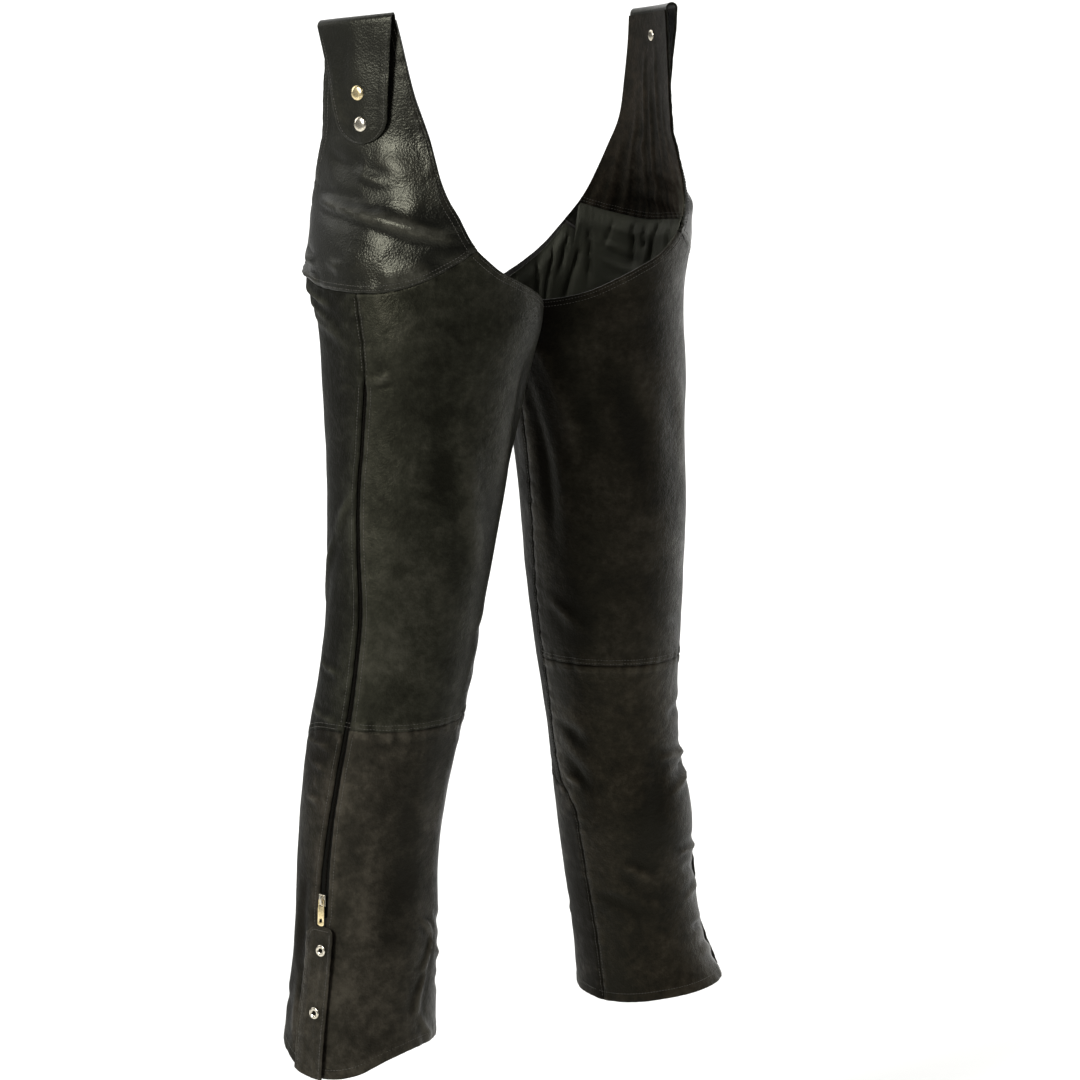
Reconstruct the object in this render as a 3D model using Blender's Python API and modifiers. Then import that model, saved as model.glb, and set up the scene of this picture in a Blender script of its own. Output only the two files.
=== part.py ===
"""Hip-set leather riding chaps: two separate legs that hang from the wearer's own belt.

The origin is the wearer's centre at belt height, +Z is up and the wearer faces -Y. The right leg
is at -X and the left leg at +X. Every panel lies on one surface per leg, given by an angle and a
height: 0 degrees is the front, 90 the outer side, 180 the back and -90 the inner side.
"""
import math

import bmesh
import bpy
import numpy as np
from mathutils import Matrix, Vector

# Leather and gaps
LEATHER = 0.0014
LINING = 0.0010
SEAM = 0.0003            # between two pieces sewn together
STEP = 0.0004            # from a panel to what lies on it
LINING_EASE = 0.0022     # the lining hangs this far inside the leather
LINING_END = -0.620

# Belt strap
FOLD_Z = 0.0255          # top of the fold
FOLD_RADIUS = 0.0042     # inside the fold
FOLD_TILT = 0.009        # its back end is this much lower
FLAP_LENGTH = 0.116
FLAP_TIP = 0.70          # its width where the round end starts, of the strap's width
FLAP_END = 0.026         # height of the round end
FLAP_LEAN = 0.05         # how far the flap leans in, of its drop
FLAP_SWING = 0.06        # and how far it swings to the front
SNAP_DROP = {"upper": 0.070, "lower": 0.099}     # below the fold
RIVET_DROP = 0.034

# Zip
ZIP_TOP, ZIP_STOP = -0.319, -0.842
SLIDER_Z = -0.824
CHAIN_WIDTH, CHAIN_THICK = 0.0026, 0.0012
TAPE_HALF, TAPE_THICK = 0.011, 0.0007
SLIDER_LIFT = 0.0003
# Slider and pull, in mm. The pull's crossbar turns freely between the slider and its bridge
SLIDER_THICK, SLIDER_HALF, SLIDER_UP, SLIDER_DOWN = 1.2, 4.0, 5.5, 6.0
BRIDGE_GAP, BRIDGE_THICK, BRIDGE_HALF, BRIDGE_REACH, BRIDGE_POST = 1.5, 1.0, 1.2, 4.4, 1.2
PULL_THICK, PULL_BAR, PULL_NECK, PULL_HALF, PULL_LENGTH = 1.0, 0.45, 3.6, 3.9, 25.5
PULL_WINDOW, PULL_SLOT = (2.2, 6.0), (1.6, 18.5, 22.0)

# Storm flap at the hem
FLAP_TOP = -0.850
FLAP_FRONT, FLAP_BACK = 0.015, 0.018             # reach from the side line
FLAP_LIFT = 0.0006
HEM_SNAP_Z = {"upper": -0.873, "lower": -0.935}
HEM_SNAP_FORWARD = 0.003

# Turned profiles. Columns: radius and height in mm, from the top's middle down to the bottom's
CAP = [(0, 2.4), (4.8, 2.0), (6.6, 1.3), (7.2, 0.5), (7.0, 0), (0, 0)]
HEM_CAP = [(0, 2.0), (3.4, 1.8), (5.2, 1.2), (5.8, 0.5), (5.6, 0), (0, 0)]
RIVET = [(0, 1.9), (3.0, 1.7), (5.0, 1.2), (5.7, 0.4), (5.5, 0), (0, 0)]
TURNED_SIDES = 16
STUD_RIM, STUD_NECK = 4.6, 3.2           # radii in mm

SIDES = {"R": -1, "L": 1}

# Sections. Columns: height, centre outwards, centre backwards, half width, half depth, all in mm,
# and how far the section is turned towards the front, in degrees
HIP = [
    (30, 95, 43, 100, 140, 15),
    (-40, 94, 40, 100, 138, 15.5),
    (-97, 92, 32, 100, 130, 16),
    (-139, 95, 23, 101, 122, 12),
    (-181, 106, 18, 102, 113, 8),
    (-230, 108, 18, 104, 106, 3),
]
# Columns: height, centre outwards, centre backwards, half width, half depth
LEG = {
    "R": [
        (-280, 108, 13, 104, 104),
        (-340, 112, 14, 98, 97),
        (-410, 122, 11, 89, 89),
        (-480, 132, 9, 83, 83),
        (-550, 143, 8, 77, 77),
        (-610, 151, 12, 75, 75),
        (-670, 160, 19, 74, 74),
        (-730, 169, 24, 71, 71),
        (-800, 174, 29, 69, 69),
        (-870, 179, 27, 70, 70),
        (-940, 185, 29, 73, 73),
        (-1010, 190, 28, 77, 77),
    ],
    "L": [
        (-280, 105, 18, 99, 101),
        (-340, 111, 14, 94, 95),
        (-410, 115, 10, 88, 88),
        (-480, 118, 7, 85, 85),
        (-550, 122, 8, 81, 81),
        (-610, 126, 8, 76, 76),
        (-670, 133, 11, 70, 71),
        (-730, 140, 11, 67, 68),
        (-800, 151, 8, 70, 71),
        (-870, 162, 11, 68, 68),
        (-940, 173, 9, 68, 69),
        (-1010, 184, 3, 74, 76),
    ],
}

# Large folds. Columns: angle, height in mm, reach in degrees, reach in mm, how far out in mm
FOLDS = {
    "R": [(134, -222, 26, 36, 7), (-36, -255, 36, 36, 8)],
    "L": [(48, -240, 35, 35, -5), (40, -1000, 35, 28, 9)],
}

# Edges and seams. Columns: height in mm, angle
FRONT_EDGE = [(30, 73), (0, 70), (-36, 67), (-60, 65), (-85, 62), (-109, 58), (-130, 53), (-146, 47),
              (-164, 37), (-183, 27), (-193, 21), (-203, 13), (-215, 2), (-226, -12), (-237, -26), (-248, -41),
              (-254, -54), (-258, -68), (-260, -92)]
BACK_EDGE = [(30, 104), (-30, 107), (-56, 110), (-97, 117), (-120, 124), (-139, 130), (-160, 138), (-181, 147),
             (-199, 155), (-221, 165), (-238, 178), (-249, 192), (-255, 212), (-258, 235), (-260, 268)]
SIDE_LINE = [(-230, 80), (-315, 74), (-370, 76), (-430, 79), (-490, 77), (-530, 74), (-600, 73), (-660, 72),
             (-713, 74), (-784, 77), (-815, 78), (-860, 79), (-1010, 79)]
INSEAM = [(-255, -92), (-450, -98), (-600, -104), (-670, -105), (-725, -108), (-762, -104), (-790, -89),
          (-830, -85), (-885, -82), (-1010, -81)]
# Columns: angle, height in mm
YOKE_SEAM = [(21, -193), (34, -211), (46, -223), (58, -230), (70, -233), (92, -234), (118, -231), (138, -218),
             (155, -199)]
KNEE_FRONT = [(-108, -650), (-60, -650), (0, -652), (50, -653), (82, -652)]
KNEE_RISE = {"R": 0.0, "L": 0.018}
KNEE_BACK = [(70, -655), (110, -662), (150, -690), (200, -735), (240, -764), (252, -771), (262, -771), (280, -771)]
HEM = {
    "R": [(-110, -984), (-60, -978), (-30, -975), (0, -975), (20, -981), (41, -993), (60, -998), (85, -996),
          (110, -985), (150, -978), (200, -980), (262, -983), (279, -981)],
    "L": [(-110, -1000), (-86, -1002), (-50, -999), (-30, -996), (-8, -994), (17, -992), (60, -990), (85, -992),
          (110, -997), (150, -1003), (200, -1003), (262, -1002), (279, -1002)],
}
# Columns: height and half the side line's gap, both in mm
GROOVE = [(-1010, 0.5), (-870, 0.5), (-852, 3.5), (-838, 5.6), (-800, 5.2), (-740, 3.0), (-660, 2.4), (-330, 2.3),
          (-316, 2.3), (-304, 0.3), (-200, 0.3)]
FACING_END = [(20, -178), (50, -184), (85, -192), (105, -195), (128, -190), (150, -180)]


def smooth(table, q):
    """A smooth curve through a table's rows, read at q in the first column's unit."""
    t = np.array(sorted(table), float)
    x, v = t[:, 0], t[:, 1:]
    q = np.clip(np.asarray(q, float), x[0], x[-1])
    slope = np.gradient(v, x, axis=0)
    i = np.clip(np.searchsorted(x, q) - 1, 0, len(x) - 2)
    h = (x[i + 1] - x[i])[..., None]
    u = (q - x[i])[..., None] / h
    return ((2 * u**3 - 3 * u**2 + 1) * v[i] + (u**3 - 2 * u**2 + u) * h * slope[i]
            + (3 * u**2 - 2 * u**3) * v[i + 1] + (u**3 - u**2) * h * slope[i + 1])


def at_height(table, z):
    """An edge's angle at a height in metres."""
    return smooth(table, np.asarray(z) * 1000)[..., 0]


def at_angle(table, angle):
    """A seam's height in metres at an angle."""
    return smooth(table, angle)[..., 0] / 1000


def edge_height(table, angle):
    """An edge's height in metres at an angle, for the part where the angle keeps its direction."""
    return smooth([(a, z) for z, a in table], angle)[..., 0] / 1000


def sections(side):
    return HIP + [row + (0,) for row in LEG[side]]


def surface(side, angle, z, out=0.0):
    """Points of the leg's outer surface, moved out along its normal."""
    angle, z = np.broadcast_arrays(np.asarray(angle, float), np.asarray(z, float))

    def skin(angle, z):
        cx, cy, a, b, turn = np.moveaxis(smooth(sections(side), z * 1000), -1, 0)
        p, t = np.radians(angle), np.radians(-turn)
        swell = sum(rise * np.exp(-((angle - a0) / da) ** 2 - ((z * 1000 - z0) / dz) ** 2)
                    for a0, z0, da, dz, rise in FOLDS[side]) + np.zeros(angle.shape)
        u, v = (a + swell) * np.sin(p), (b + swell) * np.cos(p)
        x = cx + u * np.cos(t) + v * np.sin(t)
        y = cy - v * np.cos(t) + u * np.sin(t)
        return np.stack([SIDES[side] * x, y, z * 1000], -1) / 1000

    point = skin(angle, z)
    round_, down = skin(angle + 0.5, z) - skin(angle - 0.5, z), skin(angle, z - 0.001) - skin(angle, z + 0.001)
    normal = np.cross(down, round_) * SIDES[side]
    normal /= np.linalg.norm(normal, axis=-1, keepdims=True)
    return point + normal * np.asarray(out)[..., None], normal


def spot(side, angle, z, out=0.0):
    """A frame on the surface: X round the leg, Y up, Z out."""
    point, normal = surface(side, float(angle), float(z), out)
    above, _ = surface(side, float(angle), float(z) + 0.002, out)
    up = Vector(above - point)
    normal = Vector(normal)
    up = (up - normal * up.dot(normal)).normalized()
    frame = Matrix((up.cross(normal), up, normal)).transposed().to_4x4()
    frame.translation = Vector(point)
    return frame


# Blender helpers

for thing in list(bpy.data.objects):
    bpy.data.objects.remove(thing)
chaps = bpy.data.collections.new("leather_chaps")
bpy.context.scene.collection.children.link(chaps)


def material(name, colour, roughness, metallic=0.0):
    made = bpy.data.materials.get(name) or bpy.data.materials.new(name)
    made.use_nodes = True
    shader = made.node_tree.nodes["Principled BSDF"]
    shader.inputs["Base Color"].default_value = (*colour, 1)
    shader.inputs["Roughness"].default_value = roughness
    shader.inputs["Metallic"].default_value = metallic
    return made


LOOKS = {
    "leather": ("black_cowhide", (0.016, 0.015, 0.012), 0.5),
    "lining": ("black_polyester_lining", (0.02, 0.02, 0.02), 0.6),
    "tape": ("black_polyester_zip_tape", (0.01, 0.01, 0.01), 0.8),
    "chain": ("blackened_brass_zip_chain", (0.05, 0.045, 0.04), 0.4, 1.0),
    "nickel": ("nickel_plated_brass", (0.6, 0.56, 0.47), 0.22, 1.0),
}


def node(name, bm, look, smooth_angle=40):
    mesh = bpy.data.meshes.new(name)
    bmesh.ops.recalc_face_normals(bm, faces=bm.faces)
    bm.to_mesh(mesh)
    bm.free()
    label, *values = LOOKS[look]
    mesh.materials.append(material(f"{label}_{name}", *values))
    mesh.shade_smooth()
    mesh.set_sharp_from_angle(angle=math.radians(smooth_angle))
    made = bpy.data.objects.new(name, mesh)
    chaps.objects.link(made)
    return made


def sheet(name, outer, inner, look, ring=False):
    """A wall between two grids of points, rows by columns; a ring closes round its columns.

    Both skins are moved along the leg's own normals, so that seams stay open by the same gap all through.
    """
    rows, columns = outer.shape[:2]
    bm = bmesh.new()
    skins = [[[bm.verts.new(p) for p in row] for row in grid] for grid in (outer, inner)]
    last = columns if ring else columns - 1
    for skin in skins:
        for i in range(rows - 1):
            for j in range(last):
                k = (j + 1) % columns
                bm.faces.new((skin[i][j], skin[i + 1][j], skin[i + 1][k], skin[i][k]))
    first, second = skins
    for i in (0, rows - 1):
        for j in range(last):
            k = (j + 1) % columns
            bm.faces.new((first[i][j], first[i][k], second[i][k], second[i][j]))
    if not ring:
        for i in range(rows - 1):
            for j in (0, columns - 1):
                bm.faces.new((first[i][j], first[i + 1][j], second[i + 1][j], second[i][j]))
    return node(name, bm, look)


def panel(name, side, angle, z, top, thick, look, ring=False):
    """A wall on the leg's surface, its outer face `top` above the leather's outer face."""
    outer, _ = surface(side, angle, z, np.full(np.shape(z), top))
    inner, _ = surface(side, angle, z, np.full(np.shape(z), top - thick))
    return sheet(name, outer, inner, look, ring)


def turned(name, profile, frame, look):
    """A turned piece: a profile of radius and height in mm, from the top down, screwed round a frame's Z."""
    bm = bmesh.new()
    points = [bm.verts.new((r / 1000, 0, h / 1000)) for r, h in profile]
    for a, b in zip(points, points[1:]):
        bm.edges.new((a, b))
    made = node(name, bm, look)
    screw = made.modifiers.new("turned", "SCREW")
    screw.steps = screw.render_steps = TURNED_SIDES
    screw.use_merge_vertices, screw.merge_threshold = True, 0.00005
    screw.use_smooth_shade = True
    made.matrix_world = frame
    return made


def block(bm, low, high):
    """A box in mm between two corners."""
    size = [(h - l) / 1000 for l, h in zip(low, high)]
    centre = [(h + l) / 2000 for l, h in zip(low, high)]
    return bmesh.ops.create_cube(bm, size=1, matrix=Matrix.Translation(centre) @ Matrix.Diagonal((*size, 1)))


def joined(first, second):
    """Both pieces as one body, by a Boolean union."""
    union = first.modifiers.new("union", "BOOLEAN")
    union.operation, union.object = "UNION", second
    bpy.context.view_layer.update()
    mesh = bpy.data.meshes.new_from_object(first.evaluated_get(bpy.context.evaluated_depsgraph_get()))
    first.modifiers.clear()
    first.data = mesh
    bpy.data.objects.remove(second)
    return first


def plate(name, outline, windows, thick, look):
    """A flat plate in mm, centred on its own XY plane, with rectangular windows cut through."""
    curve = bpy.data.curves.new(name, "CURVE")
    curve.dimensions, curve.fill_mode, curve.extrude = "2D", "BOTH", thick / 2000
    loops = [outline] + [[(x0, y0), (x0, y1), (x1, y1), (x1, y0)] for (x0, y0), (x1, y1) in windows]
    for loop in loops:
        spline = curve.splines.new("POLY")
        spline.points.add(len(loop) - 1)
        for point, (x, y) in zip(spline.points, loop):
            point.co = (x / 1000, y / 1000, 0, 1)
        spline.use_cyclic_u = True
    flat = bpy.data.objects.new(name + "_outline", curve)
    chaps.objects.link(flat)
    bpy.context.view_layer.update()
    mesh = bpy.data.meshes.new_from_object(flat.evaluated_get(bpy.context.evaluated_depsgraph_get()))
    bpy.data.objects.remove(flat)
    bm = bmesh.new()
    bm.from_mesh(mesh)
    bmesh.ops.remove_doubles(bm, verts=bm.verts, dist=1e-6)
    return node(name, bm, look)


def facing_frame(point, out):
    """A frame at a point with Z along a horizontal direction and Y up."""
    z = Vector(out).normalized()
    x = Vector((0, 0, 1)).cross(z).normalized()
    frame = Matrix((x, z.cross(x), z)).transposed().to_4x4()
    frame.translation = Vector(point)
    return frame


# Rows and columns of the panels

FRONT_COLUMNS = [21, 34, 46, 58]         # under the yoke seam, in degrees
BACK_COLUMNS = [98, 112, 126, 140, 155]
AROUND = 7                               # columns from there to the inseam, on the front and on the back
THIGH_ROWS, KNEE_ROWS, SHIN_ROWS = 15, 4, 9


def side_gap(z):
    """Half the gap along the side line: a lapped seam at the hem, the zip's groove and a plain seam."""
    height, half = np.array(GROOVE).T
    return np.interp(z * 1000, height, half) / 1000


def degrees_for(side, z, width):
    """The angle that a width round the leg takes at the side line."""
    return np.degrees(width * 1000 / smooth(sections(side), np.asarray(z) * 1000)[..., 3])


def columns_at(side, z, front):
    """The angles of a panel's columns at the heights z."""
    line, seam = at_height(SIDE_LINE, z), at_height(INSEAM, z)
    gap = degrees_for(side, z, side_gap(z))
    band = degrees_for(side, z, np.full(z.shape, TAPE_HALF))
    hair = degrees_for(side, z, np.full(z.shape, SEAM / 2))
    steps = np.arange(AROUND)[:, None] / AROUND
    if front:
        inner = seam + hair + (FRONT_COLUMNS[0] - seam - hair) * steps
        return np.concatenate([inner, [a + 0 * z for a in FRONT_COLUMNS], [line - band, line - gap]])
    inner = seam + 360 - hair - (seam + 360 - hair - BACK_COLUMNS[-1]) * steps[::-1]
    return np.concatenate([[line + gap, line + band], [a + 0 * z for a in BACK_COLUMNS], inner])


def leg_panel(side, front, top, bottom, inseam):
    """Angles and heights of a panel's grid, between two curves of height over the angle.

    The rows meet the inseam at the heights given, which the front and the back share.
    """
    rows = len(inseam)
    even, shared = np.linspace(0, 1, rows), (inseam - inseam[0]) / (inseam[-1] - inseam[0])
    angle, z = [], []
    columns = 13 if front else 14
    for j in range(columns):
        from_inseam = j / (columns - 1) if front else 1 - j / (columns - 1)
        part = shared + (even - shared) * from_inseam
        level = inseam - SEAM * (shared < 0.01) / 2 + SEAM * (shared > 0.99) / 2
        for _ in range(12 if from_inseam else 0):
            a = columns_at(side, level, front)[j]
            level = top(a) + (bottom(a) - top(a)) * part
        angle.append(columns_at(side, level, front)[j])
        z.append(level)
    return np.stack(angle, 1), np.stack(z, 1)


def front_top(angle):
    corner = FRONT_COLUMNS[0]
    edge = edge_height(FRONT_EDGE, np.minimum(angle, corner))
    return np.where(angle <= corner, edge, at_angle(YOKE_SEAM, np.maximum(angle, corner))) - SEAM / 2


def back_top(angle):
    corner = BACK_COLUMNS[-1]
    edge = edge_height(BACK_EDGE, np.maximum(angle, corner))
    return np.where(angle >= corner, edge, at_angle(YOKE_SEAM, np.minimum(angle, corner))) - SEAM / 2


for side in SIDES:
    def hem(angle, side=side):
        return at_angle(HEM[side], angle)

    def knee_front(angle, side=side):
        return at_angle(KNEE_FRONT, angle) + KNEE_RISE[side]

    def knee_back(angle):
        return at_angle(KNEE_BACK, angle)

    # Panels of the leg
    cuts = np.concatenate([np.linspace(-0.260, -0.650 + KNEE_RISE[side], THIGH_ROWS),
                           np.linspace(-0.650 + KNEE_RISE[side], -0.771, KNEE_ROWS + 1)[1:],
                           np.linspace(-0.771, float(hem(-81.0)), SHIN_ROWS + 1)[1:]])
    knee, calf = THIGH_ROWS - 1, THIGH_ROWS - 1 + KNEE_ROWS
    pieces = {
        "front_thigh": (True, front_top, lambda a: knee_front(a) + SEAM / 2, cuts[:knee + 1]),
        "front_shin": (True, lambda a: knee_front(a) - SEAM / 2, hem, cuts[knee:]),
        "back_thigh": (False, back_top, lambda a: knee_back(a) + SEAM / 2, cuts[:calf + 1]),
        "back_calf": (False, lambda a: knee_back(a) - SEAM / 2, hem, cuts[calf:]),
    }
    grids = {name: leg_panel(side, *piece) for name, piece in pieces.items()}
    for name, grid in grids.items():
        panel(f"{name}_{side}", side, *grid, 0.0, LEATHER, "leather")

    # Yoke: its bottom row follows the seam, and its rows rise to the strap
    seam_angles = np.concatenate([grids["front_thigh"][0][0][AROUND:], grids["back_thigh"][0][0][:7]])
    share = (seam_angles - seam_angles[0]) / (seam_angles[-1] - seam_angles[0])
    strap_top = FOLD_Z - FOLD_RADIUS - LEATHER
    front_low, back_low = at_angle(YOKE_SEAM, seam_angles[[0, -1]])
    sag = at_angle(YOKE_SEAM, seam_angles) - front_low - (back_low - front_low) * share

    def yoke_at(climb):
        front_z = front_low + (strap_top - front_low) * climb
        back_z = back_low + (strap_top - FOLD_TILT - back_low) * climb
        front_a, back_a = at_height(FRONT_EDGE, front_z), at_height(BACK_EDGE, back_z)
        z = front_z + (back_z - front_z) * share + sag * (1 - climb) ** 2 + SEAM / 2
        return front_a + (back_a - front_a) * share, z

    # The third row is where the facing ends
    trial = np.linspace(0, 1, 101)[:, None] + 0 * share
    facing_low = np.array([np.interp(0, z - at_angle(FACING_END, a), t) for a, z, t in zip(*(m.T for m in (
        *yoke_at(trial), trial)))])
    climb = np.vstack([0 * share, facing_low / 2, facing_low + (1 - facing_low) * np.linspace(0, 1, 10)[:, None]])
    yoke_a, yoke_z = yoke_at(climb)
    outer, normal = surface(side, yoke_a, yoke_z)
    inner, _ = surface(side, yoke_a, yoke_z, np.full(yoke_z.shape, -LEATHER))

    # Fold and flap: the outer side turns outwards round the belt, and the flap leans in to its snaps
    up = np.array([0, 0, 1.0])
    away = normal[-1] * (1, 1, 0)
    away /= np.linalg.norm(away, axis=1, keepdims=True)
    turn = np.linspace(0, math.pi, 8)[1:, None, None]
    hub = outer[-1] + away * FOLD_RADIUS
    bend = away * -np.cos(turn) + up * np.sin(turn)
    straight = FLAP_LENGTH - FOLD_RADIUS - FLAP_END
    rows = [(straight * k / 5, 1 - (1 - FLAP_TIP) * k / 5) for k in range(1, 6)]
    rows += [(straight + FLAP_END * math.sin(a), FLAP_TIP * math.cos(a)) for a in np.radians([25, 45, 62, 78])]
    start = hub + away * FOLD_RADIUS
    middle = start.mean(axis=0)
    forward = (start[0] - start[-1]) * (1, 1, 0)
    forward /= np.linalg.norm(forward)
    hang = forward * FLAP_SWING - away.mean(axis=0) * FLAP_LEAN - up

    def flap_row(drop, width):
        return middle + (start - middle) * width + hang * drop

    flap = np.array([flap_row(*row) for row in rows])
    outer = np.concatenate([outer, hub + bend * FOLD_RADIUS, flap])
    inner = np.concatenate([inner, hub + bend * (FOLD_RADIUS + LEATHER), flap + away * LEATHER])
    sheet(f"yoke_{side}", outer, inner, "leather")

    # Facing on the inside of the strap and yoke, on the yoke's own points
    facing_a, facing_z = yoke_a[2:], yoke_z[2:] - np.array([0] * 9 + [0.002])[:, None]
    panel(f"facing_{side}", side, facing_a, facing_z, -LEATHER - STEP, LINING, "leather")

    # Lining of the thigh, from the facing and the top edges down to the knee
    around = np.concatenate([grids["front_thigh"][0][0], grids["back_thigh"][0][0][1:-1]])
    covered = (around > 26) & (around < 146)
    top = np.where(covered, at_angle(FACING_END, around) - 0.001,
                   np.where(around < 90, front_top(around), back_top(around)) - 0.004)
    down = np.linspace(0, 1, 13)[:, None]
    lining_z = top + (LINING_END - top) * down
    panel(f"lining_{side}", side, around + 0 * down, lining_z, -LEATHER - LINING_EASE, LINING, "lining", ring=True)

    # Zip: tape behind the panels' edges, chain in the groove, slider at the bottom and its pull
    tape_z = np.linspace(ZIP_TOP, ZIP_STOP, 27)
    line = at_height(SIDE_LINE, tape_z)
    for name, half, top, thick, look in (("zip_tape", TAPE_HALF - 0.0004, -LEATHER - 0.0006, TAPE_THICK, "tape"),
                                         ("zip_chain", CHAIN_WIDTH / 2, -LEATHER + 0.0008, CHAIN_THICK, "chain")):
        reach = degrees_for(side, tape_z, np.full(tape_z.shape, half))
        across = np.stack([line - reach, line, line + reach], -1)
        panel(f"{name}_{side}", side, across, np.repeat(tape_z[:, None], 3, 1), top, thick, look)

    slider_place = spot(side, at_height(SIDE_LINE, SLIDER_Z), SLIDER_Z, SLIDER_LIFT)
    bm = bmesh.new()
    block(bm, (-SLIDER_HALF, -SLIDER_DOWN, 0), (SLIDER_HALF, SLIDER_UP, SLIDER_THICK))
    slider = node(f"zip_slider_{side}", bm, "nickel")
    foot, low, post = SLIDER_THICK / 2, SLIDER_THICK + BRIDGE_GAP, BRIDGE_REACH - BRIDGE_POST
    shape = [(BRIDGE_REACH, low + BRIDGE_THICK), (BRIDGE_REACH, foot), (post, foot), (post, low)]
    bridge = plate("bridge", shape + [(-y, z) for y, z in shape[::-1]], [], 2 * BRIDGE_HALF, "nickel")
    bridge.data.transform(Matrix.Rotation(math.pi / 2, 4, "Z") @ Matrix.Rotation(math.pi / 2, 4, "X"))
    slider = joined(slider, bridge)
    slider.data.transform(slider_place)

    # The pull hangs by its crossbar, which is its axis
    shape = [(PULL_NECK, PULL_BAR), (PULL_NECK, -7), (PULL_HALF, -9), (PULL_HALF, 1.5 - PULL_LENGTH),
             (PULL_HALF - 1.7, -PULL_LENGTH)]
    outline = shape + [(-x, y) for x, y in shape[::-1]]
    windows = [((-PULL_WINDOW[0], -PULL_WINDOW[1]), (PULL_WINDOW[0], -PULL_BAR)),
               ((-PULL_SLOT[0], -PULL_SLOT[2]), (PULL_SLOT[0], -PULL_SLOT[1]))]
    pull = plate(f"zip_pull_{side}", outline, windows, PULL_THICK, "nickel")
    pull.matrix_world = slider_place @ Matrix.Translation((0, 0, (SLIDER_THICK + BRIDGE_GAP / 2) / 1000))

    # Storm flap over the bottom of the side line
    rows = np.linspace(0, 1, 12)[:, None]
    reach = np.array([FLAP_FRONT, TAPE_HALF, 0, -TAPE_HALF, -FLAP_BACK])
    across = at_height(SIDE_LINE, FLAP_TOP) - degrees_for(side, FLAP_TOP, reach)
    begin = FLAP_TOP - np.array([0, 0, 0.001, 0.003, 0.008])
    z = begin + (hem(across) - 0.001 - begin) * rows
    panel(f"snap_flap_{side}", side, across + 0 * rows, z, LEATHER + FLAP_LIFT, LEATHER, "leather")

    # Snaps and the rivet
    for which, drop in SNAP_DROP.items():
        below = drop - FOLD_RADIUS - LEATHER
        width = 1 - (1 - FLAP_TIP) * min(below / straight, 1)
        row = flap_row(below, width)
        place_mid = np.array([np.interp(0.5, share, row[:, k]) for k in range(3)])
        out = np.array([np.interp(0.5, share, away[:, k]) for k in range(3)])
        frame = facing_frame(place_mid, out)
        turned(f"strap_cap_{which}_{side}", CAP, frame @ Matrix.Translation((0, 0, LEATHER + STEP + 0.0003)), "nickel")
        trial = np.linspace(60, 120, 61)
        behind, _ = surface(side, trial, np.full(trial.shape, place_mid[2]), np.zeros(trial.shape))
        across = (behind - place_mid) @ forward
        gap = -np.interp(0, -across, (behind - place_mid) @ out)
        foot = 0.8 - gap * 1000
        stud = [(0, -0.7), (STUD_RIM, -0.7), (STUD_RIM, -2.6), (STUD_NECK, -2.9), (STUD_NECK, foot), (0, foot)]
        turned(f"strap_stud_{which}_{side}", stud, frame, "nickel")
    rivet_z = FOLD_Z - RIVET_DROP
    rivet_a = (at_height(FRONT_EDGE, rivet_z) + at_height(BACK_EDGE, rivet_z)) / 2
    inside = spot(side, rivet_a, rivet_z, -LEATHER - STEP - LINING - STEP) @ Matrix.Rotation(math.pi, 4, "X")
    turned(f"strap_rivet_{side}", RIVET, inside, "nickel")
    for which, z in HEM_SNAP_Z.items():
        angle = at_height(SIDE_LINE, FLAP_TOP) - float(degrees_for(side, z, HEM_SNAP_FORWARD))
        turned(f"hem_cap_{which}_{side}", HEM_CAP, spot(side, angle, z, LEATHER + FLAP_LIFT + STEP), "nickel")
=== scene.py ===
import math

import bmesh
import bpy
import numpy as np
from mathutils import Matrix, Vector


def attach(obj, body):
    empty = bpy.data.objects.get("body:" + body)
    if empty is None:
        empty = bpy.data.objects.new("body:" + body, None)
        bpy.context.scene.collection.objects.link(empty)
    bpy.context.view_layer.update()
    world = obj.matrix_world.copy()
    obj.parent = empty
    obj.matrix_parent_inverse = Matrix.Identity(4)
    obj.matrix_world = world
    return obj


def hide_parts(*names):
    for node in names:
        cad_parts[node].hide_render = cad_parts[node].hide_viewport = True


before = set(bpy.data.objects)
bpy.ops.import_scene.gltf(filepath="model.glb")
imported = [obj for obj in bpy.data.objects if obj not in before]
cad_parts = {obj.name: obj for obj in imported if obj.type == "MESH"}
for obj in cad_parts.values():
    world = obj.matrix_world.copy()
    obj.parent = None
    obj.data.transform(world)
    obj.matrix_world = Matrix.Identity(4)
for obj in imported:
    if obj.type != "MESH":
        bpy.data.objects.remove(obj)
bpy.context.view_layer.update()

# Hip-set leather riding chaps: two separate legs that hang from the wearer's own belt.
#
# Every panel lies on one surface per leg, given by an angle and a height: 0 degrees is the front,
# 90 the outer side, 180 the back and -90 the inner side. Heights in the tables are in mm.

BODY = "chaps"
SIDES = {"R": -1, "L": 1}
MM = 0.001

# Leather, lining and thread
LEATHER = 0.0014
FLAP_THICK = 0.0021                      # the belt flap's doubled leather
FACING_THICK, FACING_GAP = 0.0010, 0.0004
CLOTH, LINING_EASE = 0.0006, 0.0022      # the lining and how far inside the leather it hangs
LINING_END = -0.620
STITCH_PITCH, STITCH_LONG, STITCH_THICK = 3.1, 2.5, 0.62       # mm
FIRST_ROW, SECOND_ROW = 2.6, 6.6         # stitch rows from an edge, in mm
ONE_ROW, BOTH_ROWS = (FIRST_ROW,), (FIRST_ROW, SECOND_ROW)
HEM_ROW, ZIP_ROW, FLAP_ROW, STORM_ROW, FACING_ROWS = 9.0, 5.0, 3.5, 3.0, (2.2, 5.2)
CREASE_DEPTH = 1.35                      # how much of their stated height the creases get
MESH_STEP = 3.4                          # mm between a panel's rows and columns
GIRTH_STEP = 1.75                        # mm a degree, the thigh's usual girth

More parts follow.
